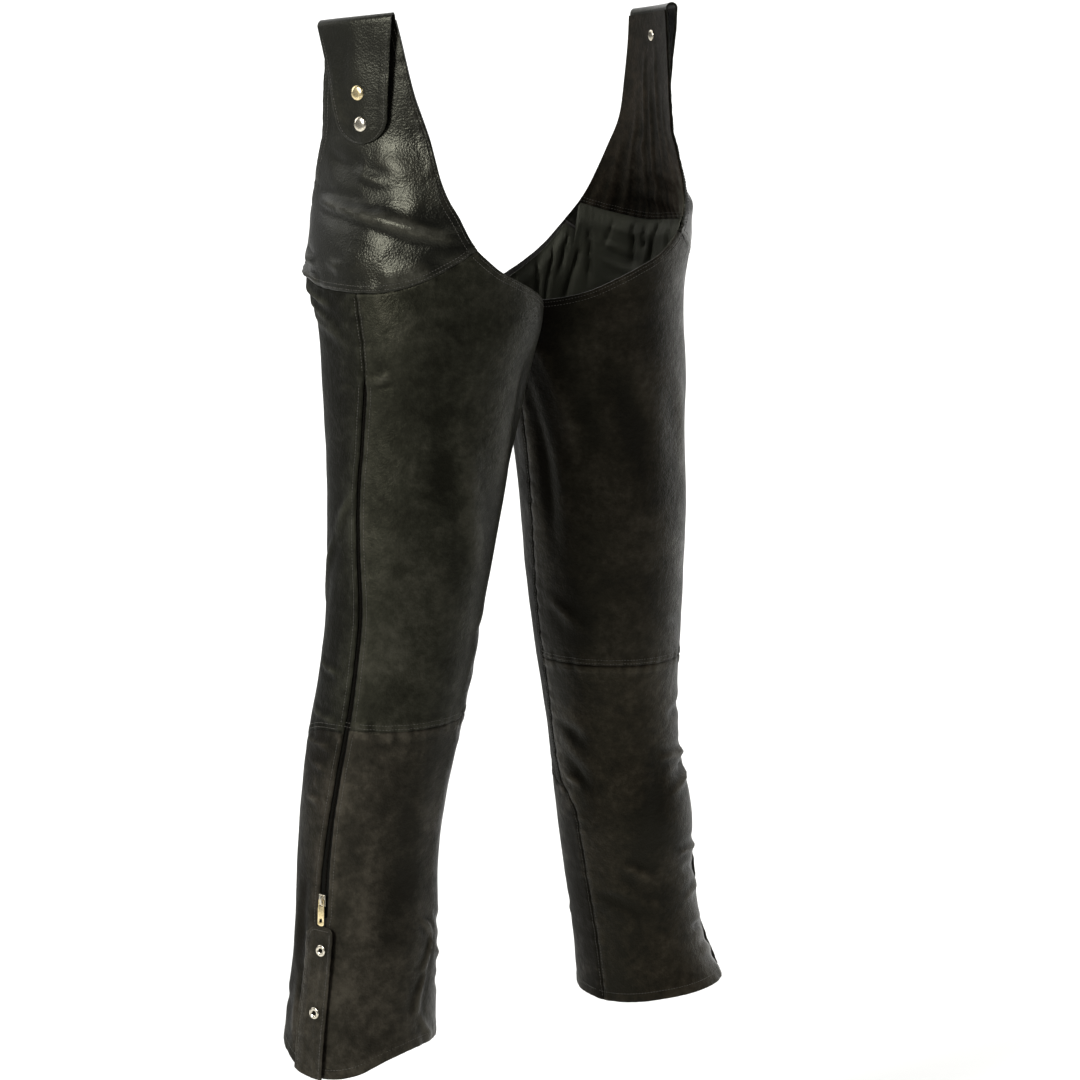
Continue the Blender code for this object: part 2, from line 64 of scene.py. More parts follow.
# Belt strap
FOLD_Z, FOLD_RADIUS, FOLD_TILT = 0.0255, 0.0042, 0.009      # top, radius, and how much lower it is behind
STRAP_TOP = FOLD_Z - FOLD_RADIUS - LEATHER
FLAP_LENGTH, FLAP_END = 0.116, 0.026     # the flap in all, and its rounded end
FLAP_TIP = 0.70                          # its width there, as a share of the strap's
FLAP_LEAN, FLAP_SWING = 0.05, 0.06

# Zip and storm flap
ZIP_TOP, ZIP_STOP = -0.319, -0.842
TAPE_HALF, TAPE_THICK, TAPE_GAP, TEETH_GAP = 0.011, 0.0007, 0.0006, 0.0004
TOOTH_PITCH, TOOTH_WIDTH, TOOTH_TALL, TOOTH_THICK = 1.35, 2.1, 0.95, 1.3      # mm
STORM_TOP, STORM_FRONT, STORM_BACK = -0.850, 0.015, 0.018
STORM_LIFT, STORM_CURL, STORM_CORNER = 0.0012, 0.0018, 0.006

# Sections. Columns: height, centre outwards, centre backwards, half width, half depth, turn in degrees
HIP = [
    (30, 95, 43, 100, 140, 15),
    (-40, 94, 40, 100, 138, 15.5),
    (-97, 92, 32, 100, 130, 16),
    (-139, 95, 23, 101, 122, 12),
    (-181, 106, 18, 102, 113, 8),
    (-230, 108, 18, 104, 106, 3),
]
# Columns: height, centre outwards, centre backwards, half width, half depth
LEG = {
    "R": [(-280, 108, 13, 104, 104), (-340, 112, 14, 98, 97), (-410, 122, 11, 89, 89),
          (-480, 132, 9, 83, 83), (-550, 143, 8, 77, 77), (-610, 151, 12, 75, 75), (-670, 160, 19, 74, 74),
          (-730, 169, 24, 71, 71), (-800, 174, 29, 69, 69), (-870, 179, 27, 70, 70),
          (-940, 185, 29, 73, 73), (-1010, 190, 28, 77, 77)],
    "L": [(-280, 105, 18, 99, 101), (-340, 111, 14, 94, 95), (-410, 115, 10, 88, 88), (-480, 118, 7, 85, 85),
          (-550, 122, 8, 81, 81), (-610, 126, 8, 76, 76), (-670, 133, 11, 70, 71), (-730, 140, 11, 67, 68),
          (-800, 151, 8, 70, 71), (-870, 162, 11, 68, 68), (-940, 173, 9, 68, 69), (-1010, 184, 3, 74, 76)],
}
# Columns: angle, height, reach in degrees, reach in mm, how far out in mm
FOLDS = {
    "R": [(134, -222, 26, 36, 7), (-36, -255, 36, 36, 8)],
    "L": [(48, -240, 35, 35, -5), (40, -1000, 35, 28, 9)],
}

# Edges and seams. Columns: height, angle
FRONT_EDGE = [(30, 73), (0, 70), (-36, 67), (-60, 65), (-85, 62), (-109, 58), (-130, 53), (-146, 47),
              (-164, 37), (-183, 27), (-193, 21), (-203, 13), (-215, 2), (-226, -12), (-237, -26),
              (-248, -41), (-254, -54), (-258, -68), (-260, -92)]
BACK_EDGE = [(30, 104), (-30, 107), (-56, 110), (-97, 117), (-120, 124), (-139, 130), (-160, 138),
             (-181, 147), (-199, 155), (-221, 165), (-238, 178), (-249, 192), (-255, 212), (-258, 235),
             (-260, 268)]
SIDE_LINE = [(-230, 80), (-315, 74), (-370, 76), (-430, 79), (-490, 77), (-530, 74), (-600, 73), (-660, 72),
             (-713, 74), (-784, 77), (-815, 78), (-860, 79), (-1010, 79)]
INSEAM = [(-255, -92), (-450, -98), (-600, -104), (-670, -105), (-725, -108), (-762, -104), (-790, -89),
          (-830, -85), (-885, -82), (-1010, -81)]
# Columns: angle, height
YOKE_SEAM = [(21, -193), (34, -211), (46, -223), (58, -230), (70, -233), (92, -234), (118, -231), (138, -218),
             (155, -199)]
FACING_END = [(20, -178), (50, -184), (85, -192), (105, -195), (128, -190), (150, -180)]
KNEE_FRONT = [(-108, -650), (-60, -650), (0, -652), (50, -653), (82, -652)]
KNEE_RISE = {"R": 0.0, "L": 0.018}
KNEE_BACK = [(70, -655), (110, -662), (150, -690), (200, -735), (240, -764), (252, -771), (262, -771),
             (280, -771)]
HEM = {
    "R": [(-110, -984), (-60, -978), (-30, -975), (0, -975), (20, -981), (41, -993), (60, -998), (85, -996),
          (110, -985), (150, -978), (200, -980), (262, -983), (279, -981)],
    "L": [(-110, -1000), (-86, -1002), (-50, -999), (-30, -996), (-8, -994), (17, -992), (60, -990),
          (85, -992), (110, -997), (150, -1003), (200, -1003), (262, -1002), (279, -1002)],
}
# Columns: height and half the side line's gap in mm
GROOVE = [(-1010, 0.1), (-870, 0.1), (-852, 3.3), (-838, 5.4), (-800, 5.0), (-740, 3.4), (-660, 3.0),
          (-600, 2.5), (-330, 2.1), (-322, 1.6), (-314, 0.05), (-200, 0.05)]

# Creases: soft folds of the leather, each a bowed line from one place to another.
# Columns: angle, height, angle, height, bow in mm, half width in mm, height in mm (below 0 it is a trough)
CREASES = {
    "R": [
        # the long fold across the yoke and the slack on both sides of it
        (122, -152, 34, -184, -3, 5.6, 3.3), (58, -190, 24, -200, 1, 4.0, 1.1),
        (100, -180, 66, -194, 2, 8, -0.8), (98, -120, 74, -134, 2, 4.0, 1.3),
        (86, -104, 60, -128, 4, 14, 1.7), (112, -108, 92, -120, 3, 9, -1.7),
        (82, -158, 58, -152, 3, 11, 1.4), (68, -216, 42, -207, 3, 11, 2.0),
        (106, -206, 92, -212, 1, 4.0, 1.6),
        # short folds that gather at the back of the hip
        (138, -200, 116, -214, 2, 3.5, 2.4), (140, -214, 112, -229, 2, 3.8, 2.8),
        (139, -228, 98, -251, 3, 4.0, 3.2), (136, -243, 95, -266, 3, 4.2, 2.8),
        (134, -258, 90, -277, 2, 4.5, 2.0), (150, -212, 132, -240, 3, 4.0, -1.4),
        # where the zip starts
        (70, -320, 58, -307, 1, 3.0, 2.3), (82, -322, 96, -331, 1, 3.0, 0.7),
        # thigh
        (82, -424, 100, -470, 4, 4.5, 1.2), (100, -470, 128, -540, 6, 6.0, 1.6),
        (-30, -300, -46, -420, 6, 10, -1.6), (8, -380, -20, -520, 8, 12, 1.3),
        (34, -330, 24, -450, -5, 13, -1.1), (168, -300, 150, -430, 9, 13, -1.8),
        (205, -330, 190, -480, -6, 14, 1.6), (236, -300, 246, -440, 5, 10, -1.5),
        # folds behind the knee
        (118, -594, 90, -600, 1, 3.2, 2.0), (190, -575, 128, -602, 5, 5.5, -1.8),
        (214, -598, 146, -622, 6, 6.0, 1.6), (228, -622, 160, -640, 5, 5.5, -1.6),
        (240, -648, 176, -668, 4, 5.0, 1.5), (222, -690, 170, -702, -3, 6.0, -1.4),
        (119, -642, 83, -647, 1, 3.0, 2.0), (119, -671, 84, -672, 1, 3.0, 2.0),
        (110, -690, 86, -694, 1, 3.2, 1.3), (108, -725, 88, -729, 0, 3.0, 1.5),
        # front of the knee and shin
        (-70, -560, -20, -585, 4, 8.0, -0.9), (-84, -605, -36, -622, 3, 6.0, 0.8),
        (-90, -690, -44, -676, -3, 5.0, 0.9), (12, -700, 0, -830, 5, 12, -0.9),
        (40, -740, 46, -880, -4, 12, 0.8), (150, -760, 140, -900, 6, 12, -1.3),
        (196, -800, 204, -930, -5, 13, 1.2),
        # ankle
        (-8, -848, -26, -867, -2, 3.2, 2.2), (-26, -866, -12, -902, -3, 3.6, 2.2),
        (-18, -902, -8, -944, 3, 4.0, 1.8), (-12, -944, -30, -972, 2, 4.0, 1.5),
        (-30, -846, -62, -868, 3, 5.0, -1.6), (-34, -882, -70, -902, 3, 5.0, 1.4),
        (-40, -918, -76, -930, 2, 5.5, -1.4), (222, -878, 178, -894, 4, 5.5, -1.5),
        (238, -906, 190, -921, 4, 5.5, 1.4), (150, -938, 112, -930, 3, 5.5, -1.1),
        (99, -806, 103, -898, 4, 7.0, -2.4), (104, -896, 100, -985, -3, 8.0, 1.8),
    ],
    "L": [
        (120, -150, 40, -178, -3, 6.0, 2.0), (116, -168, 46, -196, -3, 6.5, -1.8),
        (80, -110, 64, -130, 3, 11, 1.6), (112, -112, 92, -122, 3, 9, -1.5),
        (138, -206, 112, -222, 2, 4.0, 1.5), (138, -224, 106, -246, 3, 4.2, 1.7),
        (134, -246, 98, -264, 2, 4.4, 1.3), (69, -319, 58, -310, 1, 3.0, 1.1),
        (-76, -300, -58, -430, 7, 9, 1.4), (-88, -330, -80, -520, 6, 8, -2.4),
        (-34, -310, -14, -440, 6, 13, -1.3), (20, -340, 36, -470, 6, 13, 1.3),
        (130, -380, 118, -500, 5, 9, 1.4), (172, -310, 156, -440, 8, 13, -1.8),
        (208, -340, 198, -470, -6, 13, 1.5), (238, -310, 244, -450, 5, 10, -1.5),
        # knee
        (-92, -560, -60, -600, 3, 6.0, 1.1), (10, -590, 40, -604, 3, 6.5, -1.0),
        (196, -578, 134, -600, 5, 5.5, -1.8), (214, -600, 148, -624, 6, 6.0, 1.6),
        (230, -624, 164, -642, 5, 5.5, -1.6), (224, -688, 172, -700, -3, 6.0, -1.4),
        (-96, -700, -66, -722, 3, 7.0, -2.0), (-92, -735, -68, -770, 3, 8.0, -1.7),
        (-98, -758, -76, -764, 1, 3.4, 1.2), (14, -694, 56, -690, 1, 5.5, -2.2),
        (0, -736, 56, -745, 2, 4.2, 2.6), (8, -758, 54, -752, 1, 4.0, -1.8),
        (4, -778, 50, -762, 2, 4.0, 2.4), (-6, -720, -30, -860, 5, 13, -1.0),
        (150, -770, 142, -900, 6, 12, -1.3), (200, -800, 206, -930, -5, 13, 1.2),
        # ankle
        (6, -842, 56, -849, 2, 4.0, 2.3), (12, -862, 58, -876, 3, 5.5, -2.2),
        (10, -896, 52, -888, 2, 4.2, 1.8), (-52, -848, -20, -872, 3, 5.5, 1.1),
        (-72, -884, -34, -904, 3, 6.0, -1.3), (14, -928, 52, -938, 2, 4.4, -2.2),
        (20, -956, 62, -968, 2, 5.0, 2.0), (232, -884, 186, -900, 4, 5.5, -1.5),
        (236, -914, 188, -926, 4, 5.5, 1.3),
    ],
}
# Creases that hang between the lining's smooth planes.
# Columns: angle, top and bottom height, lean in degrees, half width in mm, depth in mm
LINING_FOLDS = [
    (126, -200, -232, 5, 1.8, 2.6), (145, -232, -296, 6, 2.6, 4.8), (140, -212, -276, -5, 2.4, 4.4),
    (113, -203, -252, -4, 2.0, 3.4), (105, -203, -232, -3, 1.8, 2.6), (171, -232, -300, -4, 2.8, 4.6),
    (153, -216, -262, 3, 2.0, 3.6), (161, -226, -340, 5, 2.2, 3.8), (96, -200, -270, 3, 2.2, 3.6),
    (84, -200, -300, -4, 2.4, 4.0), (70, -202, -260, 3, 2.0, 3.6), (56, -200, -310, 4, 2.6, 4.2),
    (42, -200, -270, -3, 2.0, 3.4), (28, -206, -330, 3, 2.6, 4.0), (6, -226, -330, -5, 2.6, 4.0),
    (-18, -246, -340, 4, 2.4, 3.8), (-44, -260, -380, -3, 2.8, 4.0), (-74, -270, -400, 3, 2.8, 4.0),
    (188, -246, -350, 4, 2.4, 4.0), (206, -256, -390, -4, 2.8, 4.2), (228, -262, -360, 3, 2.4, 3.8),
    (250, -264, -420, -4, 2.8, 4.0), (130, -290, -430, 6, 3.0, 3.6), (100, -310, -470, -5, 3.0, 3.4),
    (30, -340, -480, 5, 3.2, 3.6), (-30, -380, -540, 5, 3.2, 3.4), (176, -340, -500, -5, 3.2, 3.6),
]
# Soft folds down the facing. Columns: share of the width from the front, top and bottom as shares of the
# height, half width in mm, depth in mm
FACING_FOLDS = [(0.12, 0.5, 0.0, 4, 1.5), (0.27, 0.62, 0.0, 3.5, 2.2), (0.41, 0.9, 0.05, 4, 1.8),
                (0.55, 0.7, 0.0, 3.5, 2.4), (0.66, 0.85, 0.1, 3.2, 2.0), (0.79, 0.6, 0.0, 4, 2.2),
                (0.90, 0.45, 0.0, 4, 1.6)]


# The shape of the legs

def bell(x, reach=1.0, power=2.0):
    """A smooth rise to 1 at x = 0 that dies away over the reach."""
    return np.exp(-np.abs(x / reach) ** power)


def smoothstep(x):
    x = np.clip(x, 0, 1)
    return x * x * (3 - 2 * x)


def unit(v):
    return v / np.linalg.norm(v, axis=-1, keepdims=True)


def run_of(line):
    """How far along a line of points each of them lies, in mm."""
    return np.append(0, np.cumsum(np.linalg.norm(np.diff(line, axis=0), axis=-1))) * 1000


def smooth(table, q):
    """A smooth curve through a table's rows, read at q in the first column's unit."""
    t = np.array(sorted(table), float)
    x, v = t[:, 0], t[:, 1:]
    q = np.clip(np.asarray(q, float), x[0], x[-1])
    slope = np.gradient(v, x, axis=0)
    i = np.clip(np.searchsorted(x, q) - 1, 0, len(x) - 2)
    h = (x[i + 1] - x[i])[..., None]
    u = (q - x[i])[..., None] / h
    return ((2 * u**3 - 3 * u**2 + 1) * v[i] + (u**3 - 2 * u**2 + u) * h * slope[i]
            + (3 * u**2 - 2 * u**3) * v[i + 1] + (u**3 - u**2) * h * slope[i + 1])


def at_height(table, z):
    return smooth(table, np.asarray(z) * 1000)[..., 0]


def at_angle(table, angle):
    return smooth(table, angle)[..., 0] * MM


def edge_height(table, angle):
    return at_angle([(a, z) for z, a in table], angle)


def sections(side, z):
    """Centre outwards and backwards, half width, half depth and turn of a leg at heights in metres."""
    return np.moveaxis(smooth(HIP + [row + (0,) for row in LEG[side]], np.asarray(z) * 1000), -1, 0)


def mm_per_degree(side, z):
    """How many millimetres of the leg's girth one degree takes at a height."""
    _, _, a, b, _ = sections(side, z)
    return (a + b) / 2 * math.pi / 180


def surface(side, angle, z):
    """Points of the leg's smooth outer surface, and its normals."""
    angle, z = np.broadcast_arrays(np.asarray(angle, float), np.asarray(z, float))

    def skin(angle, z):
        cx, cy, a, b, turn = sections(side, z)
        p, t = np.radians(angle), np.radians(-turn)
        swell = sum(rise * bell(angle - a0, da) * bell(z * 1000 - z0, dz)
                    for a0, z0, da, dz, rise in FOLDS[side])
        u, v = (a + swell) * np.sin(p), (b + swell) * np.cos(p)
        x = cx + u * np.cos(t) + v * np.sin(t)
        y = cy - v * np.cos(t) + u * np.sin(t)
        return np.stack([SIDES[side] * x, y, z * 1000], -1) * MM

    around = skin(angle + 0.5, z) - skin(angle - 0.5, z)
    down = skin(angle, z - 0.001) - skin(angle, z + 0.001)
    return skin(angle, z), unit(np.cross(down, around) * SIDES[side])


def waves(points, length, count, seed):
    """An even, random-looking unevenness from -1 to 1 of about one wave length, in metres."""
    rng = np.random.default_rng(seed)
    total = np.zeros(points.shape[:-1])
    for _ in range(count):
        way = rng.normal(size=3)
        way *= 2 * math.pi / (length * rng.uniform(0.7, 1.5)) / np.linalg.norm(way)
        total += np.sin(points @ way + rng.uniform(0, 2 * math.pi))
    return total / math.sqrt(count)


def creases(side, angle, z):
    """How far the leather's creases stand out or in, in mm: each has lips beside it and fades at its ends."""
    angle, z = np.broadcast_arrays(np.asarray(angle, float), np.asarray(z, float))
    total = np.zeros(angle.shape)
    for number, (a0, z0, a1, z1, bow, width, height) in enumerate(CREASES[side]):
        scale = float(mm_per_degree(side, (z0 + z1) / 2000))
        along = np.array([(a1 - a0) * scale, z1 - z0])
        length = np.linalg.norm(along)
        along /= length
        right, up = ((angle - a0 + 180) % 360 - 180) * scale, z * 1000 - z0
        t = (right * along[0] + up * along[1]) / length
        off = up * along[0] - right * along[1] - bow * 4 * t * (1 - t)
        on = np.clip(t, 0, 1)
        fade = np.where((t > 0) & (t < 1), np.sin(np.pi * on) ** 0.7, 0) * (1 + 0.22 * np.sin(9 * t + number))
        wide = width * (0.75 + 0.5 * on)
        lips = 0.42 if height > 0 else 0.25
        total += CREASE_DEPTH * height * fade * (bell(off, wide, 1.8)
                                                 - lips * bell(np.abs(off) - 2 * wide, 1.2 * wide))
    return total


def relief(side, angle, z):
    """How far the worn leather stands out or in, in mm: its creases and its broad slack."""
    point, _ = surface(side, angle, z)
    return (creases(side, angle, z) + 0.75 * waves(point * (1, 1, 0.6), 0.15, 7, 3)
            + 0.2 * waves(point, 0.045, 9, 5))


def rubbed_and_shade_at(angle, z):
    """From 0 to 1, how matt the saddle has left the inner side and the back of the leg; the same mask darkens
    their colour there as painted shade.
    """
    reach = np.abs((angle - at_height(INSEAM, z) + 180) % 360 - 180)
    inside = smoothstep((62 - reach) / 30) * (1 - 0.6 * smoothstep((-0.62 - z) / 0.12))
    return np.maximum(0.45 * inside, 0.85 * smoothstep((angle - 82) / 22))


# How each kind of edge shapes the leather beside it.
# Columns: how deep the edge rolls in, rise of the doubled leather, its width, pucker, all in mm
EDGES = {
    "seam": (1.3, 0.35, 8.5, 0.50),
    "knee": (1.3, 0.6, 8.5, 0.65),
    "zip": (1.2, 0.5, 9.0, 0.16),
    "turned": (0.5, 0.40, 9.5, 0.30),
    "hem": (0.5, 0.55, 12.0, 0.35),
    "tucked": (1.5, 0.0, 6.0, 0.35),
}


def beside(kind, distance, run, rows=BOTH_ROWS):
    """The relief in mm at a distance from an edge, run mm along it. Thread pulls the leather in."""
    roll, rise, wide, pucker = EDGES[kind]
    d = np.abs(distance)
    shape = rise * (1 - smoothstep((d - wide + 1.5) / 3)) - roll * bell(d, 1, 1.6)
    for row in rows:
        shape = shape - 0.28 * bell(d - row, 0.8)
    wobble = (np.sin(run / 1.9 + 1.7 * np.sin(run / 13)) * np.sin(run / 7.3 + 1)
              + 0.6 * np.sin(run / 3.1 + 2 * np.sin(run / 23)))
    return shape + pucker * wobble * bell(d - 3, 7)


# Mesh helpers

def stand_for(piece, node):
    """Hides a CAD node, whose place the piece takes. The piece itself is not used here."""
    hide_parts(node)


def link(name, mesh, *looks):
    """A new piece from a mesh, riding on the chaps, with its materials."""
    piece = bpy.data.objects.new(name, mesh)
    bpy.context.scene.collection.objects.link(piece)
    for look in looks:
        mesh.materials.append(look)
    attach(piece, BODY)
    return piece


def wall(name, node, outer, inner, looks, flat, ring=False, uv=None, **wear):
    """A sheet's wall between two grids of points, rows down and columns across, closed round in a ring.

    It stands for a CAD node. flat says how it is held, what it rests on and its smooth form; only the smooth
    form is read, and the lengths along its rows and columns are measured from it but not used."""
    number = np.arange(outer.shape[0] * outer.shape[1]).reshape(outer.shape[:2])
    held, rests_on, plain = flat
    count = number.size
    if ring:
        number, plain = np.hstack([number, number[:, :1]]), np.hstack([plain, plain[:, :1]])
    front = np.stack([number[:-1, :-1], number[1:, :-1], number[1:, 1:], number[:-1, 1:]], -1).reshape(-1, 4)
    back = front[:, [0, 3, 2, 1]] + count
    rims = [number[0], number[-1, ::-1]] + ([] if ring else [number[::-1, 0], number[:, -1]])
    faces = [np.stack([rim[:-1], rim[1:], rim[1:] + count, rim[:-1] + count], -1) for rim in rims]
    faces = np.concatenate([front, back] + faces)
    across, down, out = outer[0, 1] - outer[0, 0], outer[1, 0] - outer[0, 0], outer[0, 0] - inner[0, 0]
    if np.cross(down, across) @ out < 0:
        faces = faces[:, ::-1]
    mesh = bpy.data.meshes.new(name)
    points = np.concatenate([outer.reshape(-1, 3), inner.reshape(-1, 3)])
    mesh.from_pydata(points.tolist(), [], faces.tolist())
    if uv is not None:
        both = np.tile(uv.reshape(-1, 2), (2, 1))
        mesh.uv_layers.new(name="cloth").data.foreach_set("uv", both[faces.reshape(-1)].reshape(-1))
    for what, values in wear.items():
        layer = mesh.attributes.new(what, "FLOAT", "POINT")
        layer.data.foreach_set("value", np.tile(np.clip(values, -1, 1).reshape(-1), 2))
    piece = link(name, mesh, *looks)
    if len(looks) > 1:
        slots = np.zeros(len(faces), int)
        slots[len(front):2 * len(front)] = 1
        mesh.polygons.foreach_set("material_index", slots)
    mesh.shade_smooth()
    mesh.set_sharp_from_angle(angle=math.radians(50))
    down = np.linalg.norm(np.diff(plain, axis=0), axis=-1)
    across = np.linalg.norm(np.diff(plain, axis=1), axis=-1)
    stand_for(piece, node)


def skin_wall(side, name, node, angle, z, out, thick, looks, held, rests_on, **more):
    """A sheet that follows a leg's surface, its outer face out from it, both in metres. Gives that face."""
    skin, normal = surface(side, angle, z)
    outer = skin + normal * out[..., None]
    wall(f"{name}_{side}", f"{node}_{side}", outer, outer - normal * thick, looks,
         (held, f"{rests_on}_{side}", skin), **more)
    return outer, normal


def spaced(length):
    """Shares of a length in mm, from 0 to 1, with fine steps by both ends."""
    end = np.array([0, 0.45, 1.0, 1.7, 2.6, 3.6, 4.9, 6.6, 8.8])
    middle = np.linspace(end[-1], length - end[-1], round((length - 2 * end[-1]) / MESH_STEP) + 1)[1:-1]
    return np.concatenate([end, middle, length - end[::-1]]) / length


def distance_to(points, line):
    """Each point's distance in mm to a line of points, and the nearest one's number."""
    flat = points.reshape(-1, 3)
    near, which = np.empty(len(flat)), np.empty(len(flat), int)
    for start in range(0, len(flat), 4000):
        part = slice(start, start + 4000)
        d = np.linalg.norm(flat[part][:, None] - line[None], axis=-1)
        near[part], which[part] = d.min(1), d.argmin(1)
    return near.reshape(points.shape[:-1]) * 1000, which.reshape(points.shape[:-1])


class Edge:
    """A panel's edge: its angles and heights on a leg, its kind and its rows of stitches."""

    def __init__(self, side, angle, z, kind, rows=BOTH_ROWS):
        self.side, self.kind, self.rows = side, kind, rows
        self.angle, self.z = np.broadcast_arrays(np.asarray(angle, float), np.asarray(z, float))
        self.line, _ = surface(side, angle, z)
        self.run = run_of(self.line)

    def shape(self, points):
        distance, which = distance_to(points, self.line)
        return beside(self.kind, distance, self.run[which], self.rows)


def leather(side, angle, z, edges, fade=1.0):
    """Points and normals of the worn leather's outer face, its smooth form, and its ridges in mm."""
    points, normals = surface(side, angle, z)
    drawn = sum(edge.shape(points) for edge in edges)
    out = relief(side, angle, z) * fade + drawn
    return points + normals * (out * MM)[..., None], normals, points, creases(side, angle, z) * fade + drawn


# Thread: one stitch is a small lozenge of thread, copied along each row

def one_stitch():
    """Points in mm (along, across, up) and faces of one stitch, sunk at both ends."""
    rings = [(-0.5, 0.0, -0.45), (-0.36, 0.8, 0.0), (0.0, 1.0, 0.12), (0.36, 0.8, 0.0), (0.5, 0.0, -0.45)]
    points, faces = [], []
    for along, size, up in rings:
        for turn in range(6 if size else 1):
            a = math.radians(60 * turn + 30)
            points.append((along * STITCH_LONG, math.cos(a) * size * STITCH_THICK / 2,
                           math.sin(a) * size * STITCH_THICK / 2 + up * STITCH_THICK))
    for t in range(6):
        n = (t + 1) % 6
        faces.append((0, 1 + n, 1 + t))
        faces += [(1 + t + 6 * r, 1 + n + 6 * r, 7 + n + 6 * r, 7 + t + 6 * r) for r in range(2)]
        faces.append((19, 13 + t, 13 + n))
    return np.array(points), faces


STITCH = one_stitch()


def copies(name, shape, faces, places, look):
    """One piece with a small shape at every place, given as its centre and three axes."""
    points = [centre + shape @ axes for centre, axes in places]
    loops = [tuple(v + k * len(shape) for v in face) for k in range(len(points)) for face in faces]
    mesh = bpy.data.meshes.new(name)
    mesh.from_pydata(np.concatenate(points).tolist(), [], loops)
    return link(name, mesh, look)


def sew(name, runs):
    """One piece of thread with a stitch every pitch along each run of points with its normals."""
    places = []
    for line, normal in runs:
        run = run_of(line)
        if run[-1] < 2 * STITCH_PITCH:
            continue

        def read(values, at):
            return np.stack([np.interp(at, run, values[:, k]) for k in range(3)], -1)

        place = np.arange(STITCH_PITCH / 2, run[-1], STITCH_PITCH)
        out = read(normal, place)
        along = unit(read(line, np.minimum(place + 1, run[-1])) - read(line, np.maximum(place - 1, 0)))
        out = unit(out - along * (out * along).sum(1, keepdims=True))
        axes = np.stack([along, np.cross(out, along), out], 1) * MM
        places += list(zip(read(line, place), axes))
    copies(name, *STITCH, places, THREAD).data.shade_smooth()


def stitch_row(edge, away, inside, fade=1.0):
    """The run of a row of stitches beside an edge, on the side of it where `inside` (angle, z) lies."""
    scale = mm_per_degree(edge.side, edge.z)
    flat = np.stack([edge.angle * scale, edge.z * 1000], -1)
    along = unit(np.gradient(flat, axis=0))
    over = np.stack([-along[:, 1], along[:, 0]], -1)
    middle = len(flat) // 2
    if over[middle] @ (np.array([inside[0] * scale[middle], inside[1] * 1000]) - flat[middle]) < 0:
        over = -over
    moved = flat + over * away
    points, normals, _, _ = leather(edge.side, moved[:, 0] / scale, moved[:, 1] / 1000, [edge], fade)
    return points, normals


# Materials

def linear(colour):
    """A hex sRGB colour as linear red, green, blue and 1."""
    channels = [int(colour[i:i + 2], 16) / 255 for i in (1, 3, 5)]
    return (*[c / 12.92 if c <= 0.04045 else ((c + 0.055) / 1.055) ** 2.4 for c in channels], 1)


def add(tree, kind, links=(), out=0, stops=(), **settings):
    """Adds a node with its settings and links, and gives one of its outputs.

    A link's source may be a plain value, and stops are a ramp's (position, hex colour) pairs."""
    node = tree.nodes.new("ShaderNode" + kind)
    for key, value in settings.items():
        if hasattr(node, key):
            setattr(node, key, value)
        else:
            node.inputs[key.replace("_", " ")].default_value = value
    for socket, source in links:
        if isinstance(source, bpy.types.NodeSocket):
            tree.links.new(source, node.inputs[socket])
        else:
            node.inputs[socket].default_value = source
    for number, (position, colour) in enumerate(stops):
        points = node.color_ramp.elements
        point = points[number] if number < len(points) else points.new(position)
        point.position, point.color = position, linear(colour)
    return node.outputs[out]


def finish(name, roughness, **sockets):
    """A material with its Principled shader's even values set on its own sockets."""
    made = bpy.data.materials.new(name)
    made.use_nodes = True
    shader = made.node_tree.nodes["Principled BSDF"]
    for socket, value in dict(sockets, Roughness=roughness).items():
        shader.inputs[socket.replace("_", " ")].default_value = value
    return made, made.node_tree, shader


def feed(tree, shader, **sources):
    """Links outputs into the shader's sockets, which are named with underscores."""
    for socket, source in sources.items():
        tree.links.new(source, shader.inputs[socket.replace("_", " ")])


